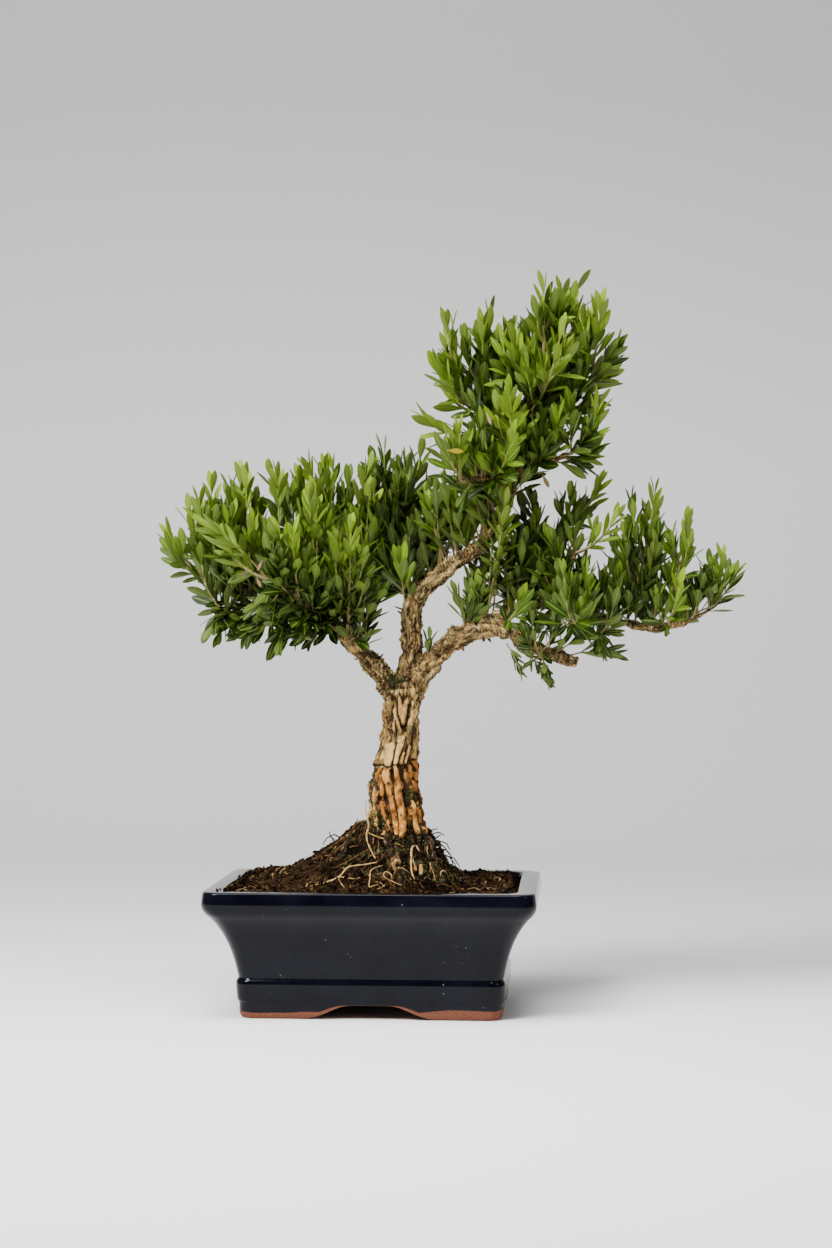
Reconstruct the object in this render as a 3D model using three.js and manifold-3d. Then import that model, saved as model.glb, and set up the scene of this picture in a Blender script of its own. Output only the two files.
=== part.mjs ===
// A Harland boxwood bonsai in its glazed rectangular pot. Millimetres, +Z up.
// Places are counted from the table under the middle of the pot: +X runs along the pot, +Y to its back.
import * as THREE from "three";
import { mergeVertices } from "three/addons/utils/BufferGeometryUtils.js";
import Module from "manifold-3d";

const wasm = await Module();
wasm.setup();

// Driving sizes of the pot.
const POT_LENGTH = 220;
const POT_DEPTH = 168;
const POT_HEIGHT = 85;
const CORNER_RADIUS = 10;
const RIM_WIDTH = 13;
const RIM_FACE = 8;
const WAIST_INSET = 22;
const BAND_INSET = 20.8;
const FOOT_INSET = 22.8;
const FOOT_RING = 14;
const BAND_LOW = 10.5;
const BAND_HIGH = 24;
const RECESS = 8.5;
const FLOOR_TOP = 15;
const ARCH_RISE = 7.6;
const FRONT_ARCH = 92;
const SIDE_ARCH = 66;
const DRAIN_RADIUS = 7;
const DRAIN_X = 38;
const MESH_SIDE = 24;
const MESH_THICK = 1.2;
const MESH_BARS = 3;
const MESH_BAR = 2;

// Driving sizes of the tree.
const TRUNK_X = 14;
const SOIL_LEVEL = 81;
const MOUND_PEAK = 61;
const MOUND_TOP = 43;
const MOUND_LEFT = 92;
const MOUND_RIGHT = 50;
const MOUND_DEEP = 62;
const EDGE_DROP = 3; // how far the soil's rounded edge falls at the pot's wall
const LEAF_LENGTH = 19;
const LEAF_WIDTH = 6.4;
const LEAF_THICK = 1;
const TWIG_RADIUS = 1.4;
const SHOOT_RADIUS = 0.95;
const GAP = 0.3; // left between two pieces that touch

const TIP_BUD = 2.5; // bare end of a stem beyond its last leaf pair
const LONG_TWIG = 42; // twigs over this length bear a side shoot and one more leaf pair

const UP = new THREE.Vector3(0, 0, 1);

const point = (p) => new THREE.Vector3(p[0], p[1], p[2]);

// A closed geometry as a solid that can be cut and joined.
function solid(geometry) {
  const bare = geometry.index ? geometry.toNonIndexed() : geometry.clone();
  bare.deleteAttribute("normal");
  bare.deleteAttribute("uv");
  const merged = mergeVertices(bare, 1e-4);
  const index = merged.index.array;
  const faces = [];
  for (let i = 0; i < index.length; i += 3) {
    const [a, b, c] = [index[i], index[i + 1], index[i + 2]];
    if (a !== b && b !== c && a !== c) faces.push(a, b, c);
  }
  const vertProperties = merged.attributes.position.array;
  const build = (list) =>
    new wasm.Manifold(new wasm.Mesh({ numProp: 3, vertProperties, triVerts: new Uint32Array(list) }));
  const made = build(faces);
  return made.volume() > 0 ? made : build(faces.reverse());
}

// A solid back as a named mesh in one material.
function piece(name, made, material) {
  const whole = made.decompose().sort((a, b) => b.volume() - a.volume())[0];
  const { numProp, vertProperties, triVerts } = whole.getMesh();
  const position = new Float32Array((vertProperties.length / numProp) * 3);
  for (let i = 0; i * 3 < position.length; i++) {
    position.set(vertProperties.subarray(i * numProp, i * numProp + 3), i * 3);
  }
  const geometry = new THREE.BufferGeometry();
  geometry.setAttribute("position", new THREE.BufferAttribute(position, 3));
  geometry.setIndex(new THREE.BufferAttribute(new Uint32Array(triVerts), 1));
  geometry.computeVertexNormals();
  const mesh = new THREE.Mesh(geometry, material);
  mesh.name = name;
  return mesh;
}

// Park and Miller's generator, so that every run makes the same draws.
function draws(seed) {
  let state = seed;
  return () => (state = (state * 16807) % 2147483647) / 2147483647;
}

// The pot and the soil in it share one rounded rectangle.

// Its points, with extra ones along its long and its short sides.
function outline(halfLength, turns, along, across) {
  const halfDepth = halfLength - (POT_LENGTH - POT_DEPTH) / 2;
  const corners = [0, 1, 2, 3].map((quarter) => {
    const [sx, sy] = [[1, 1], [-1, 1], [-1, -1], [1, -1]][quarter];
    return Array.from({ length: turns + 1 }, (_, k) => {
      const angle = (quarter + k / turns) * (Math.PI / 2);
      return new THREE.Vector2(
        sx * (halfLength - CORNER_RADIUS) + CORNER_RADIUS * Math.cos(angle),
        sy * (halfDepth - CORNER_RADIUS) + CORNER_RADIUS * Math.sin(angle),
      );
    });
  });
  return corners.flatMap((corner, quarter) => {
    const last = corner[turns];
    const next = corners[(quarter + 1) % 4][0];
    const extra = quarter % 2 ? across : along;
    const side = Array.from({ length: extra }, (_, k) => last.clone().lerp(next, (k + 1) / (extra + 1)));
    return [...corner, ...side];
  });
}

// A lathe whose circle is swapped for the rounded rectangle. A profile point is [half length, height, share]:
// the share draws the outline in towards the middle, and height may be a function of x and y.
function squaredLathe(profile, turns, along = 0, across = 0) {
  const rings = profile.map(([half, , share = 1]) =>
    outline(half, turns, along, across).map((p) => p.multiplyScalar(share)),
  );
  const count = rings[0].length;
  const columns = profile.map(() => new THREE.Vector2(1, 0));
  const lathe = new THREE.LatheGeometry(columns, count);
  const position = lathe.attributes.position;
  for (let i = 0; i < position.count; i++) {
    const ring = i % profile.length;
    const { x, y } = rings[ring][Math.floor(i / profile.length) % count];
    const height = profile[ring][1];
    position.setXYZ(i, x, y, typeof height === "function" ? height(x, y) : height);
  }
  return solid(lathe);
}

// Points of a quadratic curve after its start.
const curved = (from, via, to, steps) =>
  new THREE.QuadraticBezierCurve(...[from, via, to].map((p) => new THREE.Vector2(...p)))
    .getPoints(steps)
    .slice(1)
    .map((p) => [p.x, p.y]);

const half = POT_LENGTH / 2;
const waist = [half - WAIST_INSET, BAND_HIGH + 4];
const flareTop = [half - 5, POT_HEIGHT - 15];
const rimLow = [half, POT_HEIGHT - RIM_FACE];
const innerTop = [half - RIM_WIDTH - 1, POT_HEIGHT - 2.5];
const innerLow = [half - WAIST_INSET - 9, FLOOR_TOP + 5];
const innerVia = [half - WAIST_INSET - 6, 50];
const innerFloor = half - WAIST_INSET - 12;
const innerWall = () => [innerTop, ...curved(innerTop, innerVia, innerLow, 4)];

// A cloud-foot opening across the pot: a flat-topped arch that runs out to nothing at both ends.
function archCut(halfWidth, halfTop, acrossLength) {
  const shape = new THREE.Shape();
  shape.moveTo(-halfWidth, -1);
  shape.lineTo(-halfWidth, 0);
  shape.bezierCurveTo(-halfWidth * 0.72, 0.6, -halfWidth * 0.6, ARCH_RISE, -halfTop, ARCH_RISE);
  shape.lineTo(halfTop, ARCH_RISE);
  shape.bezierCurveTo(halfWidth * 0.6, ARCH_RISE, halfWidth * 0.72, 0.6, halfWidth, 0);
  shape.lineTo(halfWidth, -1);
  const settings = { depth: acrossLength, bevelEnabled: false, curveSegments: 4 };
  return new THREE.ExtrudeGeometry(shape, settings).translate(0, 0, -acrossLength / 2).rotateX(Math.PI / 2);
}

function pot() {
  const foot = half - FOOT_INSET;
  const band = half - BAND_INSET;
  const profile = [
    [half, RECESS, 0],
    [foot - FOOT_RING - 1, RECESS],
    [foot - FOOT_RING, 0],
    [foot - 3.5, 0],
    ...curved([foot - 3.5, 0], [foot, 0], [foot, 4], 2),
    [foot, BAND_LOW - 1],
    [band, BAND_LOW + 1],
    [band, BAND_HIGH - 2],
    ...curved([band, BAND_HIGH - 2], [band, BAND_HIGH + 2], waist, 2),
    ...curved(waist, [half - 16.7, POT_HEIGHT - 27.7], flareTop, 6),
    ...curved(flareTop, [half, POT_HEIGHT - 12], rimLow, 2),
    [half, POT_HEIGHT - 2],
    [half - 2, POT_HEIGHT],
    [half - RIM_WIDTH + 1, POT_HEIGHT],
    ...innerWall(),
    [innerFloor, FLOOR_TOP],
    [half, FLOOR_TOP, 0],
  ];
  const drain = (x) => {
    const rod = new THREE.CylinderGeometry(DRAIN_RADIUS, DRAIN_RADIUS, 2 * FLOOR_TOP, 14);
    return solid(rod.rotateX(Math.PI / 2).translate(x, 0, FLOOR_TOP));
  };
  return squaredLathe(profile, 3)
    .subtract(solid(archCut(FRONT_ARCH / 2, FRONT_ARCH / 6, POT_DEPTH)))
    .subtract(solid(archCut(SIDE_ARCH / 2, SIDE_ARCH / 6, POT_LENGTH).rotateZ(Math.PI / 2)))
    .subtract(drain(DRAIN_X))
    .subtract(drain(-DRAIN_X));
}

// The plastic screen that keeps the soil in above a drain hole: a square plate with a grid of holes.
function drainScreen(x) {
  const height = FLOOR_TOP + GAP + MESH_THICK / 2;
  const plate = solid(new THREE.BoxGeometry(MESH_SIDE, MESH_SIDE, MESH_THICK).translate(x, 0, height));
  const pitch = (MESH_SIDE - MESH_BAR) / MESH_BARS;
  const side = pitch - MESH_BAR;
  const offsets = Array.from({ length: MESH_BARS }, (_, k) => (k - (MESH_BARS - 1) / 2) * pitch);
  const hole = (dx, dy) =>
    solid(new THREE.BoxGeometry(side, side, 3 * MESH_THICK).translate(x + dx, dy, height));
  const holes = offsets.flatMap((dx) => offsets.map((dy) => hole(dx, dy)));
  return plate.subtract(wasm.Manifold.union(holes));
}

// Height of the soil: level at the rim, heaped in a lopsided cone round the trunk, and lumpy.
function soilHeight(x, y) {
  const dx = x - TRUNK_X;
  const spread = Math.hypot(dx / (dx < 0 ? MOUND_LEFT : MOUND_RIGHT), y / MOUND_DEEP);
  const heap = Math.min(Math.max(MOUND_PEAK * (1 - spread), 0), MOUND_TOP);
  const lumps = 1.1 * Math.sin(x / 6.1 + 1) * Math.sin(y / 5.3) + 0.7 * Math.sin(x / 3.3 + y / 4.1);
  return SOIL_LEVEL + heap + lumps * Math.min(1, 0.35 + heap / 20);
}

function soil(wood) {
  const wallGap = 1.4 * GAP; // across a leaning wall this leaves a whole gap
  const [upper, ...lower] = innerWall().map(([r, z]) => new THREE.Vector2(r - wallGap, z));
  const edge = upper.clone().lerp(lower[0], (upper.y - SOIL_LEVEL + EDGE_DROP) / (upper.y - lower[0].y));
  const wall = [edge, ...lower].reverse().map((p) => [p.x, p.y]);
  const profile = [
    [edge.x, FLOOR_TOP + GAP, 0],
    [innerFloor - wallGap, FLOOR_TOP + GAP],
    ...wall,
    ...[0.96, 0.74, 0.55, 0.38, 0.24, 0.14].map((share) => [edge.x, soilHeight, share]),
    [edge.x, soilHeight, 0],
  ];
  const screenRoom = (x) => {
    const [side, thick] = [MESH_SIDE, MESH_THICK].map((size) => size + 2 * GAP);
    return solid(new THREE.BoxGeometry(side, side, thick).translate(x, 0, FLOOR_TOP + GAP + MESH_THICK / 2));
  };
  return squaredLathe(profile, 2, 5, 3)
    .subtract(screenRoom(DRAIN_X))
    .subtract(screenRoom(-DRAIN_X))
    .subtract(wood);
}

// A limb is a row of stations, [x, y, z, radius], along its middle line.
const LIMBS = {
  trunk: [
    [14, 0, 58, 15],
    [14, 0, 96, 24],
    [13.5, 0, 108, 22.5],
    [12.8, 0, 122, 19.8],
    [12.2, 0, 135, 17.8],
    [11.4, 0, 152, 16.4],
    [12.4, 0, 165, 15],
    [13.5, 0, 178, 13.8],
    [15.7, 0, 200, 12.7],
    [17.5, 0, 213, 13.2],
    [19.5, 0, 223, 9],
  ],
  leader: [
    [17, 0, 204, 9.5],
    [21, 0.5, 220, 9],
    [23, 1, 236, 8.4],
    [22.8, 3, 256, 7.2],
    [23.5, 5, 271, 6.8],
    [29.6, 7, 283, 6.2],
    [41.3, 8, 292, 5.7],
    [53.7, 7, 302, 5.3],
    [68.8, 4, 313, 5.2],
    [80.5, 1, 326, 4.9],
    [87.4, -2, 341, 4.5],
    [91.5, -2, 355.5, 4.2],
    [97, 0, 373, 3.6],
    [101, 3, 395, 3],
    [106.6, 2, 419, 2.4],
    [113.5, 0, 443, 1.7],
  ],
  left: [
    [15, 0, 208, 9],
    [3.4, -4, 225.5, 8],
    [-6.9, -8, 237.5, 6.9],
    [-16.5, -11, 247, 5.8],
    [-29, -13, 257, 4.4],
    [-45, -14, 266, 3.8],
    [-65.4, -13, 269.6, 3.2],
    [-86, -10, 273.7, 2.6],
    [-104.6, -7, 283, 2],
    [-124, -5, 297, 1.6],
  ],
  leftRear: [
    [-11.7, -9, 243, 5],
    [-19, 4, 265.4, 3.8],
    [-24, 16, 285, 3.2],
    [-34.4, 26, 305, 2.5],
    [-55, 32, 319, 1.8],
  ],
  leftFront: [
    [-27, -13, 256, 3.8],
    [-38, -28, 266, 2.8],
    [-50, -38, 278, 2.2],
    [-70, -42, 290, 1.7],
  ],
  middle: [
    [23.5, 5, 266, 5],
    [19.3, 18, 288, 3.8],
    [13.8, 28, 305, 3],
    [10.3, 36, 326, 2.4],
    [3.4, 40, 347, 1.7],
  ],
  right: [
    [23, 0, 214, 9],
    [33, -3, 230, 8.3],
    [41.3, -5, 239, 7.3],
    [51.6, -6, 248.5, 7],
    [62, -6, 254.4, 6.8],
    [72, -5, 257, 7.2],
    [82.6, -5, 258.5, 7],
    [93.6, -7, 253.7, 5.8],
    [104.6, -9, 246, 5.2],
    [118.3, -10, 239.3, 4.6],
    [135.5, -11, 233.8, 3.8],
  ],
  rightLong: [
    [80, -4, 259, 6],
    [90.8, 0, 269.6, 4.6],
    [110, 5, 273.7, 3.9],
    [134, 6, 269.6, 3.5],
    [154.8, 3, 263.4, 3.3],
    [175.4, 0, 259, 3.1],
    [190, -2, 256.5, 2.9],
    [206.4, -3, 260, 2.3],
    [222, -3, 268, 1.8],
    [232, -2, 276, 1.5],
  ],
  rightSpur: [
    [189, -2, 257, 2.4],
    [196, -1, 271, 1.9],
    [199, -1, 282, 1.5],
  ],
  rightRear: [
    [88, -1, 267, 4],
    [92.9, 14, 288, 3.2],
    [103, 24, 305, 2.6],
    [116, 32, 322.5, 1.9],
  ],
  rightFront: [
    [112, 5, 273, 3.4],
    [123.8, -12, 288, 2.8],
    [136, -20, 308.7, 1.9],
  ],
  topRight: [
    [91, -2, 353, 3.6],
    [100, -6, 364, 3],
    [117, -12, 370, 2.6],
    [134, -16, 375.5, 1.9],
  ],
  topFront: [
    [90, -2, 350, 3.4],
    [82.6, -10, 357, 2.7],
    [68.8, -20, 357.6, 2.2],
    [56.4, -26, 355, 1.7],
  ],
  topLeft: [
    [96, 0, 370, 3.2],
    [86, 10, 381, 2.6],
    [72, 18, 401.6, 2.2],
    [62, 22, 422, 1.7],
  ],
  topRear: [
    [101, 3, 393, 2.6],
    [117, 12, 401.6, 2.3],
    [134, 18, 415, 1.9],
    [146, 18, 436, 1.6],
  ],
};

// A tube through the stations, closed at both ends. extra thickens it, ends included. Its first edge lies
// towards the vector named first, which is carried along the line without twisting.
function limb(stations, sides, steps, extra, ridge = () => 1, first = new THREE.Vector3(1, 0, 0)) {
  const line = new THREE.CatmullRomCurve3(stations.map(point), false, "centripetal");
  const spans = stations.length - 1;
  const rings = spans * steps;
  const frames = [];
  let across = first;
  for (let i = 0; i <= rings; i++) {
    const along = line.getTangent(i / rings);
    across = across.clone().addScaledVector(along, -across.dot(along)).normalize();
    const middle = line.getPoint(i / rings);
    if (i === 0) middle.addScaledVector(along, -extra);
    if (i === rings) middle.addScaledVector(along, extra);
    const span = Math.min(Math.floor(i / steps), spans - 1);
    const radius = THREE.MathUtils.lerp(stations[span][3], stations[span + 1][3], i / steps - span);
    frames.push({ middle, across, other: along.clone().cross(across), radius });
  }
  const tube = new THREE.CylinderGeometry(1, 1, 1, sides, rings);
  const position = tube.attributes.position;
  for (let i = 0; i < position.count; i++) {
    const frame = frames[Math.round((position.getY(i) + 0.5) * rings)];
    const [z, x] = [position.getZ(i), position.getX(i)];
    const angle = Math.atan2(x, z);
    const reach = Math.hypot(x, z) > 0.5 ? frame.radius * ridge(angle, frame.middle.z) + extra : 0;
    const place = frame.middle
      .clone()
      .addScaledVector(frame.across, reach * Math.cos(angle))
      .addScaledVector(frame.other, reach * Math.sin(angle));
    position.setXYZ(i, place.x, place.y, place.z);
  }
  return solid(tube);
}

// The trunk's corky cords and fissures: ridges that run up it and wander a little.
const trunkRidge = (angle, height) =>
  1 +
  0.06 * Math.cos(6 * angle + 1.5 * Math.sin(height / 17)) +
  0.035 * Math.cos(9 * angle - height / 12) +
  0.03 * Math.sin(height / 5.5);

// Surface roots: they leave the trunk's foot, run down the heap and go under.
const ROOT_COUNT = 7;
function root(k, extra) {
  const draw = draws(71 + 13 * k);
  const heading = (k / ROOT_COUNT) * 2 * Math.PI + 0.5 * draw();
  const reach = 30 + 16 * draw() + (Math.cos(heading) < 0 ? 14 : 0);
  const stations = [0.2, 0.45, 0.7, 0.88, 1].map((share, i) => {
    const turn = heading + 0.35 * Math.sin(3 * share + k);
    const x = TRUNK_X + reach * share * Math.cos(turn);
    const y = reach * share * Math.sin(turn);
    const lift = [6, 1.2, 0.6, -0.8, -5][i];
    return [x, y, soilHeight(x, y) + lift, [5.2, 3.8, 2.8, 2, 1.2][i]];
  });
  return limb(stations, 5, 1, extra);
}

const SIDES = { trunk: 14, leader: 8, left: 6, right: 7, rightLong: 6 };
const SMALL_SIDES = 5;

// The whole woody tree below its green twigs, thickened by extra all over.
function wood(extra) {
  const limbs = Object.entries(LIMBS).map(([name, stations]) =>
    name === "trunk"
      ? limb(stations, SIDES.trunk, 2, extra, trunkRidge)
      : limb(stations, SIDES[name] ?? SMALL_SIDES, 1, extra),
  );
  const roots = Array.from({ length: ROOT_COUNT }, (_, k) => root(k, extra));
  return wasm.Manifold.union([...limbs, ...roots]);
}

// A leaf: a narrow spoon shape, widest past its middle and blunt at its tip.
// It has thin edges and a keel below. Base at the origin, length along +X, upper face to +Z.
function blade(length, width) {
  const bow = (x) => -0.06 * length * (x / length) ** 2;
  const rim = [
    [0, 0],
    [0.64, -0.5],
    [0.97, -0.22],
    [0.97, 0.22],
    [0.64, 0.5],
  ].map(([along, side]) => [along * length, side * width, bow(along * length)]);
  const middle = 0.55 * length;
  const keel = [middle, 0, bow(middle) - LEAF_THICK];
  const geometry = new THREE.BufferGeometry();
  geometry.setAttribute("position", new THREE.Float32BufferAttribute([...rim, keel].flat(), 3));
  const upper = [[0, 1, 4], [1, 2, 4], [2, 3, 4]];
  const lower = rim.map((_, i) => [(i + 1) % rim.length, i, rim.length]);
  return geometry.setIndex([...upper, ...lower].flat());
}

// A leaf on a stem at a place. It leaves the stem's direction by an opening angle, on the outward side.
function leafAt(place, along, outward, opening, length, width) {
  const out = along.clone().multiplyScalar(Math.cos(opening)).addScaledVector(outward, Math.sin(opening));
  const face = along.clone().multiplyScalar(Math.sin(opening)).addScaledVector(outward, -Math.cos(opening));
  const turn = new THREE.Matrix4().makeBasis(out, face.clone().cross(out), face).setPosition(place);
  return solid(blade(length, width).applyMatrix4(turn));
}

// The middle line of a twig: it leaves its bough outwards and turns up to its tip.
function twigLine(from, tip) {
  const reach = tip.clone().sub(from);
  const bend = from.clone().add(new THREE.Vector3(0.7 * reach.x, 0.7 * reach.y, 0.3 * reach.z));
  return new THREE.QuadraticBezierCurve3(from, bend, tip);
}

// The vector square to the plane that a stem's middle line lies in.
function planeNormal({ v0, v1, v2 }) {
  return v1.clone().sub(v0).cross(v2.clone().sub(v1)).normalize();
}

// The way out of a stem at t through the middle of one of its four sides.
function sideOf(line, t, quarter) {
  const across = planeNormal(line);
  const other = line.getTangent(t).cross(across);
  const angle = (quarter + 0.5) * (Math.PI / 2);
  return across.multiplyScalar(Math.cos(angle)).addScaledVector(other, Math.sin(angle));
}

// Boxwood twigs are four-angled.
function stem(line, thick, thin, rings) {
  const stations = Array.from({ length: rings + 1 }, (_, i) => {
    const p = line.getPoint(i / rings);
    return [p.x, p.y, p.z, THREE.MathUtils.lerp(thick, thin, i / rings)];
  });
  return limb(stations, 4, 1, 0, undefined, planeNormal(line));
}

// The side shoots of a twig. Like the leaves they come in turn from its four sides.
const SHOOT_TURNS = [0, 2, 1, 3];
function sideShoots(line, seed) {
  const draw = draws(seed);
  const count = Math.max(3, Math.round(line.getLength() / 9));
  const first = Math.floor(4 * draw());
  return Array.from({ length: count }, (_, i) => {
    const t = 0.25 + (0.6 * (i + 0.5)) / count;
    const base = line.getPoint(t);
    const along = line.getTangent(t);
    const outward = sideOf(line, t, first + SHOOT_TURNS[i % 4]);
    const length = (36 - 14 * t) * (0.85 + 0.3 * draw());
    const via = base.clone().addScaledVector(outward, 0.4 * length).addScaledVector(along, 0.15 * length);
    const end = base
      .clone()
      .addScaledVector(outward, 0.66 * length)
      .addScaledVector(along, 0.4 * length)
      .addScaledVector(UP, 0.26 * length);
    return { t, line: new THREE.QuadraticBezierCurve3(base, via, end) };
  });
}

// Crossed leaf pairs back from the end of a stem, the last pair half shut and the earlier ones wider open. A
// leaf with no room is opened more or less, and left out where that doesn't help.
const OPENING_CHANGES = [0, 0.3, -0.25, 0.5];
function leafPairs(line, pairs, spacing, room) {
  for (let k = 0; k < pairs; k++) {
    const t = 1 - (TIP_BUD + k * spacing) / line.getLength();
    const [place, along] = [line.getPoint(t), line.getTangent(t)];
    const scale = k ? 1 : 0.93;
    for (const quarter of [k, k + 2]) {
      const outward = sideOf(line, t, quarter);
      OPENING_CHANGES.some((change) => {
        const opening = 0.55 + 0.28 * k + change;
        return room(leafAt(place, along, outward, opening, LEAF_LENGTH * scale, LEAF_WIDTH * scale));
      });
    }
  }
}

// Each spray hangs on a bough at a station number, and its twig ends at a tip. Tips are where the tree's own
// shoots end, pad by pad, with others behind and before them so that each pad is as deep as it is tall.
const PADS = {
  left: [
    ["left", 8.95, [-140, -5, 317]],
    ["left", 8.4, [-131, 12, 335]],
    ["left", 7.8, [-113, -6, 350]],
    ["left", 7.1, [-98, 22, 358]],
    ["leftRear", 3.9, [-77, 38, 361]],
    ["leftRear", 2.9, [-34, 36, 366]],
    ["leftFront", 2.95, [-99, -46, 314]],
    ["left", 6.3, [-82, -20, 328]],
    ["leftFront", 1.9, [-51, -58, 317]],
    ["left", 4.6, [-40, -14, 345]],
    ["left", 3.3, [-14, -44, 320]],
    ["left", 7.4, [-108, -30, 262]],
    ["left", 5.4, [-62, -38, 251]],
    ["leftRear", 1.6, [-6, 12, 347]],
    ["leftRear", 3.7, [-96, 62, 321]],
    ["left", 6.8, [-122, 34, 304]],
  ],
  middle: [
    ["middle", 3.95, [2, 32, 377]],
    ["middle", 3.2, [27, 26, 374]],
    ["middle", 2.5, [9, 60, 346]],
    ["middle", 1.4, [45, 42, 322]],
  ],
  top: [
    ["topLeft", 2.95, [52, 6, 453]],
    ["topLeft", 2.5, [75, 27, 471]],
    ["leader", 14.95, [113, 5, 485]],
    ["leader", 14.5, [134, 25, 488]],
    ["topRear", 2.95, [151, -4, 469]],
    ["topLeft", 2.1, [44, -14, 430]],
    ["topLeft", 1.5, [36, 8, 398]],
    ["leader", 13.9, [93, -15, 454]],
    ["leader", 13.3, [124, -35, 448]],
    ["topRear", 2.3, [156, 26, 432]],
    ["topRight", 2.95, [150, -15, 406]],
    ["leader", 12.1, [92, -50, 410]],
    ["topFront", 2.9, [58, -38, 386]],
    ["topFront", 1.3, [92, -60, 378]],
    ["topRear", 1.2, [110, 50, 433]],
    ["topLeft", 0.9, [80, 55, 404]],
  ],
  right: [
    ["rightRear", 2.95, [150, 18, 354]],
    ["rightLong", 4.4, [188, 6, 348]],
    ["rightSpur", 1.95, [209, -5, 325]],
    ["rightLong", 8.95, [232, -8, 302]],
    ["rightRear", 1.6, [108, 16, 329]],
    ["rightFront", 1.95, [160, -26, 329]],
    ["right", 6.1, [98, -45, 276]],
    ["rightLong", 2.6, [138, -55, 269]],
    ["rightLong", 6.2, [203, -38, 284]],
    ["rightLong", 3.5, [152, -28, 246]],
    ["right", 8.4, [114, -24, 231]],
    ["right", 3.8, [65, -4, 285]],
    ["rightLong", 3.9, [178, 46, 305]],
    ["rightRear", 1.1, [96, 62, 300]],
  ],
};

function onLimb(name, at) {
  const line = new THREE.CatmullRomCurve3(LIMBS[name].map(point), false, "centripetal");
  return line.getPoint(at / (LIMBS[name].length - 1));
}

// All sprays start as bare stems, so that no leaf of one is put across a stem of another.
function sprays(woodRoom) {
  const all = Object.entries(PADS).flatMap(([pad, list]) =>
    list.map(([name, at, tip], i) => {
      const line = twigLine(onLimb(name, at), point(tip));
      const seed = 977 + 131 * i + 7 * Math.round(Math.abs(tip[0]));
      const shoots = sideShoots(line, seed).filter((_, k) => k === 1 && line.getLength() > LONG_TWIG);
      return { name: `${pad}_spray_${i + 1}`, line, shoots };
    }),
  );
  for (const spray of all) {
    spray.parts = [
      stem(spray.line, TWIG_RADIUS, SHOOT_RADIUS, spray.shoots.length ? 3 : 2),
      ...spray.shoots.map((shoot) => stem(shoot.line, SHOOT_RADIUS, SHOOT_RADIUS * 0.8, 1)),
    ].map((made) => ({ made, box: made.boundingBox() }));
  }
  const apart = (a, b) => [0, 1, 2].some((k) => a.min[k] > b.max[k] + GAP || b.min[k] > a.max[k] + GAP);
  for (const spray of all) {
    const others = all.filter((other) => other !== spray);
    const room = (made) => {
      const box = made.boundingBox();
      const near = others.flatMap((other) => other.parts).filter((part) => !apart(box, part.box));
      const clear = near.every((part) => made.minGap(part.made, 2 * GAP) > GAP);
      if (clear) spray.parts.push({ made, box });
      return clear;
    };
    const reach = spray.line.getLength();
    const pairs = reach > LONG_TWIG ? 4 : 3;
    leafPairs(spray.line, pairs, (0.75 * reach) / (pairs + 1), room);
    spray.shoots.forEach(({ line }) => leafPairs(line, 2, 10, room));
  }
  return all.map(({ name, parts }) => {
    const whole = wasm.Manifold.union(parts.map((part) => part.made)).subtract(woodRoom);
    return piece(name, whole, materials.leaf);
  });
}

const finish = (color, roughness) => new THREE.MeshStandardMaterial({ color, roughness, metalness: 0 });
const materials = {
  glaze: finish(0x1b1d23, 0.12),
  plastic: finish(0x20221f, 0.6),
  soil: finish(0x3a291c, 0.95),
  bark: finish(0xa88a5e, 0.85),
  leaf: finish(0x5f8a2c, 0.5),
};

const bonsai = new THREE.Group();
const woodRoom = wood(GAP);
bonsai.add(
  piece("pot", pot(), materials.glaze),
  piece("drain_screen_left", drainScreen(-DRAIN_X), materials.plastic),
  piece("drain_screen_right", drainScreen(DRAIN_X), materials.plastic),
  piece("soil", soil(woodRoom), materials.soil),
  piece("trunk_and_boughs", wood(0), materials.bark),
  ...sprays(woodRoom),
);

// The finished part stands with the middle of its whole extent over the origin.
const extent = new THREE.Box3().setFromObject(bonsai);
const middle = extent.getCenter(new THREE.Vector3());
bonsai.position.set(-middle.x, -middle.y, -extent.min.z);

export default bonsai;
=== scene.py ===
"""A Harland boxwood bonsai in a glazed pot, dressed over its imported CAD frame."""

import math

import bmesh
import bpy
import numpy as np
from mathutils import Matrix, Vector, noise
from mathutils.geometry import interpolate_bezier


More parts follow.
